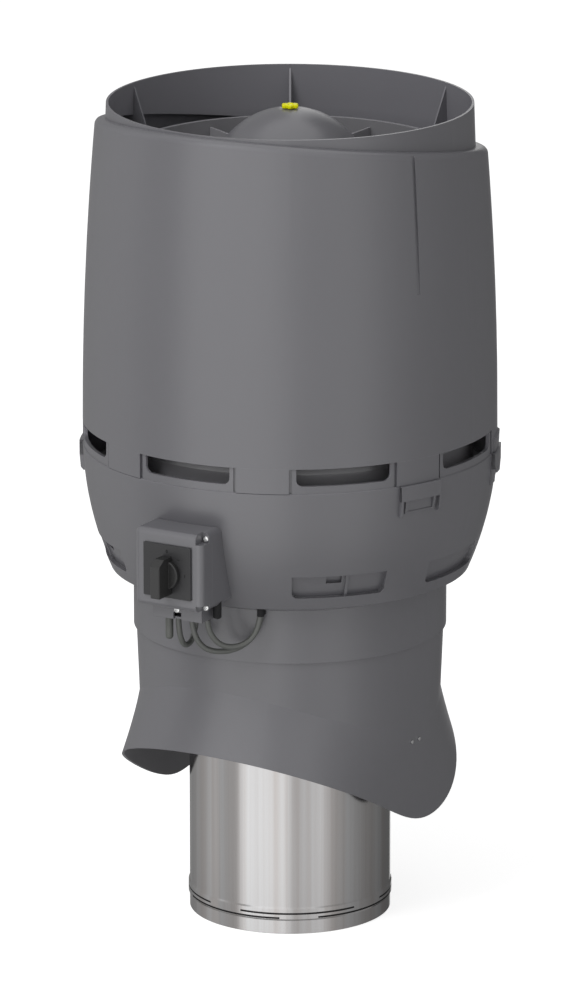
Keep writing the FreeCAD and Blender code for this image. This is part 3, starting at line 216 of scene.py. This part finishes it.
def buildDrawnLines(values):
    # long lines from noise squeezed along one axis with Stretch: fine ones, and broad ones beside them
    group, start, end = startGroup(
        "drawnLines",
        [("Color", "Colour", (0.6, 0.6, 0.6, 1)), ("Vector", "Stretch", (400.0, 400.0, 6.0)),
         ("Float", "Drift", 0.08), ("Float", "Rough", 0.25), ("Float", "Spread", 0.12)],
        [("Color", "Colour"), ("Float", "Roughness"), ("Float", "Height"), ("Float", "Broad")])
    link = group.links.new
    place = addNode(group, "ShaderNodeTexCoord")
    scale = addNode(group, "ShaderNodeVectorMath", operation="MULTIPLY")
    link(place.outputs["Object"], scale.inputs[0])
    link(start.outputs["Stretch"], scale.inputs[1])
    fine = addNode(group, "ShaderNodeTexNoise", Scale=1.0, Detail=values["fineDetail"],
                   Roughness=values["fineRough"])
    link(scale.outputs[0], fine.inputs["Vector"])
    slow = addNode(group, "ShaderNodeTexNoise", Scale=values["roughScale"], Detail=values["roughDetail"])
    link(place.outputs["Object"], slow.inputs["Vector"])
    link(fine.outputs["Fac"], end.inputs["Height"])
    wider = addNode(group, "ShaderNodeTexNoise", Scale=values["broadScale"], Detail=values["broadDetail"],
                    Roughness=values["broadRough"])
    link(scale.outputs[0], wider.inputs["Vector"])
    broad = addNode(group, "ShaderNodeMapRange", From_Min=values["broadLow"], From_Max=values["broadHigh"])
    link(wider.outputs["Fac"], broad.inputs["Value"])
    link(broad.outputs[0], end.inputs["Broad"])
    varySurface(group, start, end, fine.outputs["Fac"], slow.outputs["Fac"])
    return group


def buildInsideShadeMask():
    # n . (x, y, 0) / r turned from 0 .. -Softness into 0 .. 1: 1 where a face looks towards the fan's axis,
    # the faces that get painted light or shade
    group, start, end = startGroup("insideShadeMask", [("Float", "Softness", 0.2)], [("Float", "Mask")])
    link = group.links.new
    place = addNode(group, "ShaderNodeTexCoord")
    flat = addNode(group, "ShaderNodeVectorMath", operation="MULTIPLY")
    flat.inputs[1].default_value = (1, 1, 0)
    link(place.outputs["Object"], flat.inputs[0])
    outward = addNode(group, "ShaderNodeVectorMath", operation="NORMALIZE")
    link(flat.outputs[0], outward.inputs[0])
    surface = addNode(group, "ShaderNodeNewGeometry")
    dot = addNode(group, "ShaderNodeVectorMath", operation="DOT_PRODUCT")
    link(outward.outputs[0], dot.inputs[0])
    link(surface.outputs["Normal"], dot.inputs[1])
    mask = addNode(group, "ShaderNodeMapRange")
    link(addMath(group, "MULTIPLY", start.outputs["Softness"], -1.0), mask.inputs["From Max"])
    link(dot.outputs["Value"], mask.inputs["Value"])
    link(mask.outputs[0], end.inputs["Mask"])
    return group


mouldGrain = buildMouldGrain(grainSizes)
insideShadeMask = buildInsideShadeMask()
paintedEdgeHighlight = buildEdgeHighlight(edgeHighlightSizes)
drawnLines = buildDrawnLines(lineSizes)


def emptyMaterial(name):
    material = bpy.data.materials.new(name)
    material.use_nodes = True
    material.node_tree.nodes.clear()
    return material, material.node_tree


def startMaterial(name):
    material, tree = emptyMaterial(name)
    shader = addNode(tree, "ShaderNodeBsdfPrincipled", (0, 0))
    output = addNode(tree, "ShaderNodeOutputMaterial", (300, 0))
    tree.links.new(shader.outputs[0], output.inputs[0])
    return material, tree, shader


def roundAndRaise(tree, shader, height, rounding, bump):
    # edges rounded in the shading, with the grain or the lines raised on them
    soft = addNode(tree, "ShaderNodeBevel", (-400, -400), samples=4, Radius=rounding)
    raised = addNode(tree, "ShaderNodeBump", (-200, -300), Strength=1.0, Distance=bump)
    tree.links.new(height, raised.inputs["Height"])
    tree.links.new(soft.outputs[0], raised.inputs["Normal"])
    tree.links.new(raised.outputs[0], shader.inputs["Normal"])


edgeHighlightColour = {"gain": 1.7, "lift": 0.02}     # a painted edge highlight's colour is gain * colour + lift


def mouldedPlastic(name, colour, rough=0.5, spread=0.06, scale=900.0, bump=0.00006, drift=0.06, edgeHighlight=0.3,
                   specular=0.95, rounding=0.0008, paintedInsideShade=1.0):
    # grain, a slow drift of colour and paler edges as a painted highlight; the colour is multiplied by the
    # inside level on faces that look towards the axis, as painted light or shade
    material, tree, shader = startMaterial(name)
    link = tree.links.new
    grain = placeGroup(tree, mouldGrain, (-700, 100), Colour=(*colour, 1), Scale=scale, Drift=drift,
                       Rough=rough, Spread=spread)
    highlit = placeGroup(tree, paintedEdgeHighlight, (-700, -200), Amount=edgeHighlight)
    # painted highlight: the edges are made paler than the plastic
    paler = addNode(tree, "ShaderNodeMix", (-400, 100), data_type="RGBA")
    gain, lift = edgeHighlightColour["gain"], edgeHighlightColour["lift"]
    paler.inputs[7].default_value = (*[min(1.0, c * gain + lift) for c in colour], 1)
    link(highlit.outputs["Mask"], paler.inputs[0])
    # painted light and shade: the colour of faces that look towards the axis is scaled up or down in place
    # of the light inside
    if paintedInsideShade == 1.0:
        link(grain.outputs["Colour"], paler.inputs[6])
    else:
        insideFaces = placeGroup(tree, insideShadeMask, (-1000, 300))
        level = addNode(tree, "ShaderNodeMapRange", (-800, 300), To_Min=1.0, To_Max=paintedInsideShade)
        link(insideFaces.outputs["Mask"], level.inputs["Value"])
        paintedInsideColour = addNode(tree, "ShaderNodeVectorMath", (-550, 300), operation="SCALE")
        link(grain.outputs["Colour"], paintedInsideColour.inputs[0])
        link(level.outputs[0], paintedInsideColour.inputs["Scale"])
        link(paintedInsideColour.outputs[0], paler.inputs[6])
    link(paler.outputs[2], shader.inputs["Base Color"])
    link(grain.outputs["Roughness"], shader.inputs["Roughness"])
    roundAndRaise(tree, shader, grain.outputs["Height"], rounding, bump)
    shader.inputs["Specular IOR Level"].default_value = specular
    return material


def drawnSteel(name, colour, rough=0.22, spread=0.1, stretch=(400.0, 400.0, 5.0), bump=0.00002, drift=0.1,
               rounding=0.0006, streak=None):
    # metal with fine lines drawn along one way, and broad streaks where a second colour is given
    material, tree, shader = startMaterial(name)
    link = tree.links.new
    lines = placeGroup(tree, drawnLines, (-700, 100), Colour=(*colour, 1), Stretch=stretch, Drift=drift,
                       Rough=rough, Spread=spread)
    if streak is None:
        link(lines.outputs["Colour"], shader.inputs["Base Color"])
    else:
        streaked = addNode(tree, "ShaderNodeMix", (-400, 300), data_type="RGBA", blend_type="MULTIPLY")
        streaked.inputs[7].default_value = (*streak, 1)
        link(lines.outputs["Broad"], streaked.inputs[0])
        link(lines.outputs["Colour"], streaked.inputs[6])
        link(streaked.outputs[2], shader.inputs["Base Color"])
    link(lines.outputs["Roughness"], shader.inputs["Roughness"])
    roundAndRaise(tree, shader, lines.outputs["Height"], rounding, bump)
    shader.inputs["Metallic"].default_value = 1.0
    return material


housingGrey = (0.16, 0.158, 0.173)
materials = {
    "pipe_steel": drawnSteel("polishedPipe", (0.525, 0.523, 0.527), rough=0.14, spread=0.08,
                             stretch=(260, 260, 2), drift=0.12, streak=(0.83, 0.79, 0.765)),
    "seal_rubber": mouldedPlastic("sealRubber", (0.014, 0.014, 0.015), rough=0.7, bump=0.00003, edgeHighlight=0.1,
                                  specular=0.3),
    "collar_plastic": mouldedPlastic("collarPlastic", housingGrey, rough=0.3),
    # an inside level above 1 paints light on the faces that look towards the axis, below 1 paints shade on
    # them
    "housing_plastic": mouldedPlastic("housingPlastic", housingGrey, rough=0.3, paintedInsideShade=2.4),
    "hood_plastic": mouldedPlastic("hoodPlastic", housingGrey, rough=0.3, rounding=0.0002, paintedInsideShade=1.5),
    "clip_plastic": mouldedPlastic("clipPlastic", housingGrey, rough=0.3),
    "duct_plastic": mouldedPlastic("ductPlastic", (0.32, 0.316, 0.335), rough=0.3, paintedInsideShade=0.75),
    "dome_plastic": mouldedPlastic("domePlastic", housingGrey, rough=0.3),
    "yellow_plastic": mouldedPlastic("yellowPlastic", (1.0, 0.98, 0.0), rough=0.35, bump=0.00002,
                                     specular=0.25),
    "box_plastic": mouldedPlastic("boxPlastic", (0.165, 0.163, 0.178), rough=0.3),
    "dial_plastic": mouldedPlastic("dialPlastic", (0.034, 0.034, 0.036), rough=0.4, bump=0.00002,
                                   specular=0.45),
    "knob_plastic": mouldedPlastic("knobPlastic", (0.022, 0.022, 0.022), rough=0.4, bump=0.00002,
                                   specular=0.6),
    "print_ink": mouldedPlastic("printInk", (0.008, 0.008, 0.008), rough=0.6, bump=0.0, edgeHighlight=0.0,
                                specular=0.2),
    "contact_plastic": mouldedPlastic("contactPlastic", (0.05, 0.05, 0.055), rough=0.5),
    "cable_jacket": mouldedPlastic("cableJacket", (0.1, 0.105, 0.096), rough=0.45, bump=0.00003),
    "plug_plastic": mouldedPlastic("plugPlastic", (0.09, 0.095, 0.085), rough=0.5, bump=0.00003),
    "screw_steel": drawnSteel("screwSteel", (0.75, 0.75, 0.75), rough=0.2, stretch=(700, 700, 700)),
    "sheet_steel": drawnSteel("sheetSteel", (0.5, 0.5, 0.5), rough=0.4, stretch=(60, 60, 60), drift=0.3),
    "wheel_plastic": mouldedPlastic("wheelPlastic", (0.05, 0.05, 0.055), rough=0.45),
    "motor_metal": drawnSteel("motorMetal", (0.35, 0.35, 0.36), rough=0.45, stretch=(300, 300, 300)),
    "insulation_foam": mouldedPlastic("insulationFoam", (0.3, 0.3, 0.29), rough=0.95, scale=300.0,
                                      bump=0.0006, edgeHighlight=0.0),
}


def dressNodes():
    slotOf = {row["node"]: row["material_slot"] for row in frame["record"]["subparts"]}
    for name, obj in nodes.items():
        obj.data.materials.clear()
        obj.data.materials.append(materials[slotOf[name]])


dressNodes()
print("stage: materials built,", len(materials))


# the three cables: control points of each route, in metres
cableForm = {"thickness": 0.007, "outletHeight": 0.4352, "roundSteps": 6, "routeSteps": 16}
cableRoutes = {
    "supply": {"length": 0.1644, "points": [
        (0.0062, -0.2480, 0.4412), (0.0062, -0.2480, 0.4160), (0.0190, -0.2363, 0.3880),
        (0.0499, -0.2081, 0.3880), (0.0704, -0.1893, 0.4160), (0.0704, -0.1893, 0.4475)]},
    "motor": {"length": 0.1335, "points": [
        (0.0275, -0.2480, 0.4412), (0.0275, -0.2480, 0.4210), (0.0400, -0.2347, 0.3965),
        (0.0614, -0.2120, 0.3965), (0.0739, -0.1987, 0.4210), (0.0739, -0.1987, 0.4475)]},
    "link": {"length": 0.1311, "points": [
        (-0.0123, -0.2480, 0.4412), (-0.0123, -0.2480, 0.3915), (-0.0108, -0.2067, 0.3915),
        (-0.0108, -0.2067, 0.4475)]},
}


def layCable(name, route, form):
    # an open NURBS curve through the box's outlet, down, and up into the bowl's foot
    data = bpy.data.curves.new(name + "Cable", "CURVE")
    data.dimensions = "3D"
    data.bevel_depth = form["thickness"] / 2
    data.bevel_resolution = form["roundSteps"]
    data.resolution_u = form["routeSteps"]
    spline = data.splines.new("NURBS")
    spline.points.add(len(route["points"]) - 1)
    for point, place in zip(spline.points, route["points"]):
        point.co = (*place, 1)
    spline.order_u = 3
    spline.use_endpoint_u = True
    data.use_fill_caps = True
    cable = bpy.data.objects.new(name + "Cable", data)
    scene.collection.objects.link(cable)
    data.materials.append(materials["cable_jacket"])
    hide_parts(name + "_cable")
    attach(cable, "fan")


for cableName, cableRoute in cableRoutes.items():
    layCable(cableName, cableRoute, cableForm)
print("stage: cables laid")


# small pieces as numpy surfaces
def gridPart(grid):
    # points and four-cornered faces of a grid (rows, columns, 3) whose last column joins the first
    rows, columns = grid.shape[:2]
    index = np.arange(rows * columns).reshape(rows, columns)
    index = np.concatenate([index, index[:, :1]], axis=1)
    quads = np.stack([index[:-1, :-1], index[:-1, 1:], index[1:, 1:], index[1:, :-1]], -1).reshape(-1, 4)
    return grid.reshape(-1, 3), quads


def joinParts(name, parts, material, body):
    # one mesh object from several parts; poles are merged and the faces turned outwards
    points = np.concatenate([part[0] for part in parts])
    starts = np.cumsum([0] + [len(part[0]) for part in parts[:-1]])
    quads = np.concatenate([part[1] + start for part, start in zip(parts, starts)])
    mesh = bpy.data.meshes.new(name)
    mesh.vertices.add(len(points))
    mesh.vertices.foreach_set("co", points.astype(np.float32).ravel())
    mesh.loops.add(quads.size)
    mesh.loops.foreach_set("vertex_index", quads.astype(np.int32).ravel())
    mesh.polygons.add(len(quads))
    mesh.polygons.foreach_set("loop_start", np.arange(0, quads.size, 4, dtype=np.int32))
    mesh.update(calc_edges=True)
    cleaner = bmesh.new()
    cleaner.from_mesh(mesh)
    bmesh.ops.remove_doubles(cleaner, verts=cleaner.verts, dist=1e-6)
    bmesh.ops.recalc_face_normals(cleaner, faces=cleaner.faces)
    cleaner.to_mesh(mesh)
    cleaner.free()
    mesh.validate()
    mesh.polygons.foreach_set("use_smooth", np.ones(len(mesh.polygons), dtype=bool))
    obj = bpy.data.objects.new(name, mesh)
    scene.collection.objects.link(obj)
    mesh.materials.append(material)
    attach(obj, body)
    return obj


def softStep(distance, softness):
    # 1 well inside an outline, 0 well outside it: 1 / (1 + exp(distance / softness))
    return 1 / (1 + np.exp(np.clip(distance / softness, -30, 30)))


clipSizes = {
    "angles": (68.0, 112.0, -112.0, -68.0),    # degrees from the front towards +X
    "span": 13.6,                              # degrees, as the spans of its pieces
    "top": 0.5957, "height": 0.0385, "proud": 0.0045,
    "rootDepth": 0.0012,                       # how deep each piece starts in the bowl
    "plateHeight": 0.019, "chamfer": 0.0009,
    "cheekSpan": 0.62, "cheekInset": 0.0001, "cheekDrop": 0.0002,
    "cheekBendIn": 0.0014, "cheekBendUp": 0.004, "cheekFootIn": 0.0045,
    "legStep": 1.75, "legSpan": 0.75, "legInset": 0.0022, "legOverlap": 0.001, "legBendDown": 0.003,
    "legThick": 0.0032, "legFootUp": 0.0035,
    "barThick": 0.0024, "barHeight": 0.0022,
    "corner": 30.0,                            # degrees from which an edge stays sharp
    # foot, waist and joint of the bowl's outline: radius, height
    "outline": ((0.2210, 0.4435), (0.2395, 0.4960), (0.2543, 0.5960)),
}


def bowlRadius(outline, height):
    # radius at a height on the circle through three points of the outline
    (ax, ay), (bx, by), (cx, cy) = outline
    d = 2 * (ax * (by - cy) + bx * (cy - ay) + cx * (ay - by))
    a, b, c = ax * ax + ay * ay, bx * bx + by * by, cx * cx + cy * cy
    midRadius = (a * (by - cy) + b * (cy - ay) + c * (ay - by)) / d
    midHeight = (a * (cx - bx) + b * (ax - cx) + c * (bx - ax)) / d
    whole = math.hypot(ax - midRadius, ay - midHeight)
    return midRadius + math.sqrt(whole ** 2 - (height - midHeight) ** 2)


def sweptBar(profile, middle, span):
    # a closed profile (radius, height) carried about the axis; rows: centre, profile at each angle, centre
    outline = np.array(profile)
    centre = np.broadcast_to(outline.mean(0), outline.shape)
    turns = np.radians(middle + span * np.linspace(-0.5, 0.5, 9))
    rows = [(centre, turns[0])] + [(outline, turn) for turn in turns] + [(centre, turns[-1])]
    grid = [np.stack([row[:, 0] * math.sin(turn), -row[:, 0] * math.cos(turn), row[:, 1]], -1)
            for row, turn in rows]
    return gridPart(np.stack(grid))


def clipParts(values, angle):
    # plate, two cheeks down to the foot, two inner legs and the bar under the window, each as a profile
    # (radius, height) whose roots follow the bowl's outline
    top, chamfer = values["top"], values["chamfer"]
    plateLow, foot = top - values["plateHeight"], top - values["height"]
    barLow = foot + values["legFootUp"]
    barHigh = barLow + values["barHeight"]
    outer = values["outline"][2][0] + values["proud"]
    rootHigh, rootLow, rootBar, rootFoot = (bowlRadius(values["outline"], z) - values["rootDepth"]
                                            for z in (top, plateLow, barLow, foot))
    plate = [(rootHigh, top), (outer - chamfer, top), (outer, top - chamfer), (outer, plateLow + chamfer),
             (outer - chamfer, plateLow), (rootLow, plateLow)]
    cheekTop, cheekOut = top - values["cheekDrop"], outer - values["cheekInset"]
    cheek = [(rootHigh, cheekTop), (cheekOut, cheekTop), (cheekOut, plateLow),
             (outer - values["cheekBendIn"], foot + values["cheekBendUp"]),
             (outer - values["cheekFootIn"], foot), (rootFoot, foot)]
    legTop, legOut = plateLow + values["legOverlap"], outer - values["legInset"]
    leg = [(rootLow, legTop), (legOut, legTop), (legOut, plateLow - values["legBendDown"]),
           (rootFoot + values["legThick"], barLow), (rootFoot, barLow)]
    barOut = rootBar + values["barThick"]
    bar = [(rootBar, barLow), (barOut, barLow), (barOut, barHigh), (rootBar, barHigh)]
    side = (values["span"] - values["cheekSpan"]) / 2
    inner = side - values["legStep"]
    pieces = [(plate, 0, values["span"]),
              (cheek, -side, values["cheekSpan"]), (cheek, side, values["cheekSpan"]),
              (leg, -inner, values["legSpan"]), (leg, inner, values["legSpan"]),
              (bar, 0, 2 * inner)]
    return [sweptBar(profile, angle + turn, span) for profile, turn, span in pieces]


def buildClips(values):
    parts = [part for angle in values["angles"] for part in clipParts(values, angle)]
    clips = joinParts("snapClips", parts, materials["clip_plastic"], "fan")
    clips.data.set_sharp_from_angle(angle=math.radians(values["corner"]))
    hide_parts("hood_clips")


screwSizes = {
    "head": 0.0036, "dome": 0.0024, "domeFall": 0.4, "headSide": 0.3,    # the last two as shares
    "shank": 0.0019, "tip": 0.001, "length": 0.018,
    "crossReach": 0.0022, "crossHalf": 0.0004, "crossDepth": 0.0011, "crossSoft": 0.00006,
    "rings": 34, "columns": 96,
    # seats of the three cover screws and of the two that hold the box
    "seats": [(0.0428, -0.2750, 0.5425), (0.0428, -0.2750, 0.4572), (0.0, -0.2710, 0.4476),
              (-0.0315, -0.2520, 0.5250), (0.0315, -0.2520, 0.5250)],
}


def screwPart(values, seat):
    # a radius and a height profile turned about the axis: dome (1 - domeFall s^2), upright side, shank, tip;
    # the dome sinks inside a cross, by a soft step of the distance to the cross's edge
    turn = np.linspace(0, 2 * np.pi, values["columns"], endpoint=False)
    s = np.linspace(0, 1, values["rings"])
    head, dome, shank, length = (values[key] for key in ("head", "dome", "shank", "length"))
    radius = np.concatenate([s * head, [head, head, shank, shank, 0]])
    out = np.concatenate([dome * (1 - values["domeFall"] * s ** 2),
                          [values["headSide"] * dome, 0, 0, values["tip"] - length, -length]])
    x, z = radius[:, None] * np.cos(turn), radius[:, None] * np.sin(turn)
    reach, half = values["crossReach"], values["crossHalf"]
    edge = np.minimum(np.maximum(np.abs(x) - reach, np.abs(z) - half),
                      np.maximum(np.abs(z) - reach, np.abs(x) - half))
    sunk = values["crossDepth"] * softStep(edge, values["crossSoft"])
    sunk[values["rings"]:] = 0
    grid = np.stack([x, -(out[:, None] - sunk), z], -1)
    return gridPart(grid + np.array(seat))


def buildScrews(values):
    screws = joinParts("coverScrews", [screwPart(values, seat) for seat in values["seats"]],
                       materials["screw_steel"], "fan")
    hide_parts("box_screws")


starKnobSizes = {
    "radius": 0.0095, "lobe": 0.0017, "lobes": 6, "turn": 0.52,
    "low": 1.0123, "height": 0.0056, "square": 0.5,
    "dimple": 0.0034, "dimpleDepth": 0.0012, "dimpleSoft": 0.0002,
    "rings": 61, "columns": 240,
}


def buildStarKnob(values):
    # r = (radius + lobe cos(lobes (a + turn))) |cos t|^square, z = middle + half sign(t) |sin t|^square: a
    # squared-off section carried round a star, with a round dimple in the top
    turn = np.linspace(0, 2 * np.pi, values["columns"], endpoint=False)
    t = np.linspace(-np.pi / 2, np.pi / 2, values["rings"])[:, None]
    star = values["radius"] + values["lobe"] * np.cos(values["lobes"] * (turn + values["turn"]))
    radius = star * np.abs(np.cos(t)) ** values["square"]
    half = values["height"] / 2
    z = values["low"] + half + half * np.sign(t) * np.abs(np.sin(t)) ** values["square"]
    dimple = values["dimpleDepth"] * softStep(radius - values["dimple"], values["dimpleSoft"])
    z = z - np.where(t > 0, dimple, 0)
    grid = np.stack([radius * np.sin(turn), -radius * np.cos(turn), z], -1)
    knob = joinParts("starKnob", [gridPart(grid)], materials["yellow_plastic"], "fan")
    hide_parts("dome_knob")


dialMarks = {
    "thick": 0.00012, "height": 0.0038, "width": 0.0026, "stroke": 0.0006,
    "dashShare": 0.8,     # the dash's height as a share of the stroke
    "sunk": 0.00002, "columns": 64, "corner": 8,
    # across and above the middle of the plate
    "zero": (0.0, 0.0249), "one": (0.0247, -0.0028), "dash": (0.0155, 0.0162),
}


def ringPart(values):
    # an ellipse's band: outer back, outer front, inner front, inner back, and the first ring again
    turn = np.linspace(0, 2 * np.pi, values["columns"], endpoint=False)
    halfWidth, halfHeight = values["width"] / 2, values["height"] / 2
    stroke, thick = values["stroke"], values["thick"]
    rows = [(0, 0), (0, thick), (stroke, thick), (stroke, 0), (0, 0)]
    grid = [np.stack([(halfWidth - inset) * np.cos(turn), np.full_like(turn, -out),
                      (halfHeight - inset) * np.sin(turn)], -1) for inset, out in rows]
    return gridPart(np.stack(grid))


def slabPart(values, width, height):
    # a rounded rectangle |x/w|^corner + |z/h|^corner = 1 with a flat front and back
    turn = np.linspace(0, 2 * np.pi, values["columns"], endpoint=False)
    corner = values["corner"]
    reach = (np.abs(np.cos(turn)) ** corner + np.abs(np.sin(turn)) ** corner) ** (-1 / corner)
    x, z = reach * np.cos(turn) * width / 2, reach * np.sin(turn) * height / 2
    rows = [(0, 0), (1, 0), (1, values["thick"]), (0, values["thick"])]
    grid = [np.stack([x * size, np.full_like(turn, -out), z * size], -1) for size, out in rows]
    return gridPart(np.stack(grid))


def buildDialMarks(values):
    # the figures 0 and 1 and a short dash, printed on the plate round the knob
    low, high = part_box("switch_plate")
    middle = (low.z + high.z) / 2
    height, stroke = values["height"], values["stroke"]
    shapes = {"zero": ringPart(values), "one": slabPart(values, stroke, height),
              "dash": slabPart(values, height, stroke * values["dashShare"])}
    parts = [(points + np.array([values[key][0], low.y + values["sunk"], middle + values[key][1]]), quads)
             for key, (points, quads) in shapes.items()]
    marks = joinParts("dialMarks", parts, materials["print_ink"], "fan")


buildClips(clipSizes)
buildScrews(screwSizes)
buildStarKnob(starKnobSizes)
buildDialMarks(dialMarks)
print("stage: small pieces built")


# floor, paper tent and lamps; azimuths in degrees from the front towards +X
studio = {
    "floorColour": (0.86, 0.86, 0.86), "floorSide": 14.0, "floorDrop": 0.0005, "floorGlow": 0.72,
    "tentRadius": 1.6, "tentLow": -1.2, "tentHigh": 3.2, "tentSides": 96,
    "fadeLow": -1.0, "fadeHigh": -0.4, "glowLow": 0.6, "glowHigh": 1.35,
    "baseLevel": 0.45, "worldLevel": 0.38, "aimHeight": 0.5,
    # how bright the paper is at an angle from the camera, towards the right
    "tentLevels": [(-180, 0.22), (-145, 0.22), (-120, 0.38), (-100, 0.5), (-90, 0.56), (-84, 0.42),
                   (-62, 0.46), (-53, 1.0), (-20, 1.0), (-6, 0.98), (4, 0.6), (22, 0.66), (35, 0.72),
                   (50, 0.46), (66, 0.32), (88, 0.24), (108, 0.19), (130, 0.13), (155, 0.08), (180, 0.22)],
}
lamps = {
    "keyLamp": {"power": 66.0, "size": 2.6, "azimuth": -15.0, "distance": 4.0, "height": 4.0},
    "fillLamp": {"power": 5.0, "size": 2.4, "azimuth": 100.0, "distance": 4.5, "height": 1.6},
    "overLamp": {"power": 22.0, "size": 1.2, "azimuth": -5.0, "distance": 1.8, "height": 4.2},
}


def flatMesh(name, vertices, faces, material):
    mesh = bpy.data.meshes.new(name)
    mesh.from_pydata([tuple(v) for v in vertices], [], faces)
    obj = bpy.data.objects.new(name, mesh)
    scene.collection.objects.link(obj)
    mesh.materials.append(material)
    return obj


def squareMesh(name, side, height, material):
    corners = [(-side, -side, height), (side, -side, height), (side, side, height), (-side, side, height)]
    return flatMesh(name, corners, [(0, 1, 2, 3)], material)


def layFloor(values):
    # pale paper that also glows for the camera and in reflections
    material, tree = emptyMaterial("paleFloor")
    link = tree.links.new
    plain = addNode(tree, "ShaderNodeBsdfDiffuse", (-300, 0), Color=(*values["floorColour"], 1))
    glow = addNode(tree, "ShaderNodeEmission", (-300, -200))
    path = addNode(tree, "ShaderNodeLightPath", (-800, 200))
    seen = addMath(tree, "MAXIMUM", path.outputs["Is Camera Ray"], path.outputs["Is Glossy Ray"],
                   at=(-600, 200))
    link(addMath(tree, "MULTIPLY", seen, values["floorGlow"], at=(-450, -200)), glow.inputs["Strength"])
    both = addNode(tree, "ShaderNodeAddShader", (-100, 0))
    link(plain.outputs[0], both.inputs[0])
    link(glow.outputs[0], both.inputs[1])
    output = addNode(tree, "ShaderNodeOutputMaterial", (100, 0))
    link(both.outputs[0], output.inputs[0])
    floor = squareMesh("floor", values["floorSide"], -values["floorDrop"], material)
    floor.visible_glossy = False


def onlyReflected(paper):
    paper.visible_camera = False
    paper.visible_diffuse = False
    paper.visible_shadow = False
    paper.visible_transmission = False
    paper.visible_volume_scatter = False


def tentPaper(values):
    # the levels round the axis, dimmer towards the floor
    material, tree = emptyMaterial("tentPaper")
    link = tree.links.new
    place = addNode(tree, "ShaderNodeTexCoord", (-900, 0))
    turned = addNode(tree, "ShaderNodeMapping", (-700, 0))
    turned.inputs["Rotation"].default_value = (0, 0, math.radians(90 - cameraView["azimuth"]))
    link(place.outputs["Object"], turned.inputs["Vector"])
    around = addNode(tree, "ShaderNodeTexGradient", (-500, 0), gradient_type="RADIAL")
    link(turned.outputs[0], around.inputs["Vector"])
    ramp = addNode(tree, "ShaderNodeValToRGB", (-300, 0))
    elements = ramp.color_ramp.elements
    for angle, level in values["tentLevels"]:
        elements.new((angle + 180) / 360).color = (level, level, level, 1)
    elements.remove(elements[0])
    elements.remove(elements[len(elements) - 1])
    link(around.outputs["Fac"], ramp.inputs[0])
    glow = addNode(tree, "ShaderNodeEmission", (0, 0))
    link(ramp.outputs[0], glow.inputs["Color"])
    parts = addNode(tree, "ShaderNodeSeparateXYZ", (-500, -300))
    link(place.outputs["Object"], parts.inputs[0])
    fade = addNode(tree, "ShaderNodeMapRange", (-300, -300), From_Min=values["fadeLow"],
                   From_Max=values["fadeHigh"], To_Min=values["glowLow"], To_Max=values["glowHigh"])
    link(parts.outputs["Z"], fade.inputs["Value"])
    link(fade.outputs[0], glow.inputs["Strength"])
    output = addNode(tree, "ShaderNodeOutputMaterial", (200, 0))
    link(glow.outputs[0], output.inputs[0])
    return material


def basePaper(values):
    material, tree = emptyMaterial("basePaper")
    glow = addNode(tree, "ShaderNodeEmission", (0, 0), Color=(1, 1, 1, 1), Strength=values["baseLevel"])
    output = addNode(tree, "ShaderNodeOutputMaterial", (200, 0))
    tree.links.new(glow.outputs[0], output.inputs[0])
    return material


def pitchTent(values):
    # a paper cylinder round the object and a darker sheet under it, which only reflections see: bright to
    # the left of the camera, dark behind
    count, radius, low = values["tentSides"], values["tentRadius"], values["tentLow"]
    turn = np.linspace(0, 2 * np.pi, count, endpoint=False)
    ring = np.stack([radius * np.sin(turn), -radius * np.cos(turn)], -1)
    vertices = np.concatenate([np.column_stack([ring, np.full(count, height)])
                               for height in (low, values["tentHigh"])])
    faces = [(i, (i + 1) % count, count + (i + 1) % count, count + i) for i in range(count)]
    onlyReflected(flatMesh("reflectionTent", vertices, faces, tentPaper(values)))
    onlyReflected(squareMesh("reflectionBase", radius, low, basePaper(values)))


def hangLamp(name, values):
    data = bpy.data.lights.new(name, "AREA")
    data.shape = "DISK"
    data.size = values["size"]
    data.energy = values["power"]
    lamp = bpy.data.objects.new(name, data)
    scene.collection.objects.link(lamp)
    lamp.location = roundAxis(values)
    aim = Vector((0, 0, studio["aimHeight"])) - lamp.location
    lamp.rotation_euler = aim.to_track_quat("-Z", "Y").to_euler()
    lamp.visible_glossy = False


def lightWorld(values):
    # white for the camera, in reflections and through glass, and dimmer as a light
    world = bpy.data.worlds.new("studioWorld")
    scene.world = world
    world.use_nodes = True
    tree = world.node_tree
    tree.nodes.clear()
    path = addNode(tree, "ShaderNodeLightPath", (-800, 0))
    seen = addMath(tree, "MAXIMUM", path.outputs["Is Camera Ray"], path.outputs["Is Glossy Ray"],
                   at=(-600, 0))
    through = addMath(tree, "MAXIMUM", seen, path.outputs["Is Transmission Ray"], at=(-450, 0))
    level = addNode(tree, "ShaderNodeMapRange", (-300, 0), To_Min=values["worldLevel"], To_Max=1.0)
    tree.links.new(through, level.inputs["Value"])
    back = addNode(tree, "ShaderNodeBackground", (-100, 0), Color=(1, 1, 1, 1))
    tree.links.new(level.outputs[0], back.inputs["Strength"])
    output = addNode(tree, "ShaderNodeOutputWorld", (100, 0))
    tree.links.new(back.outputs[0], output.inputs[0])


layFloor(studio)
pitchTent(studio)
for lampName, lampValues in lamps.items():
    hangLamp(lampName, lampValues)
lightWorld(studio)
scene.view_settings.view_transform = "Standard"
print("stage: studio ready")
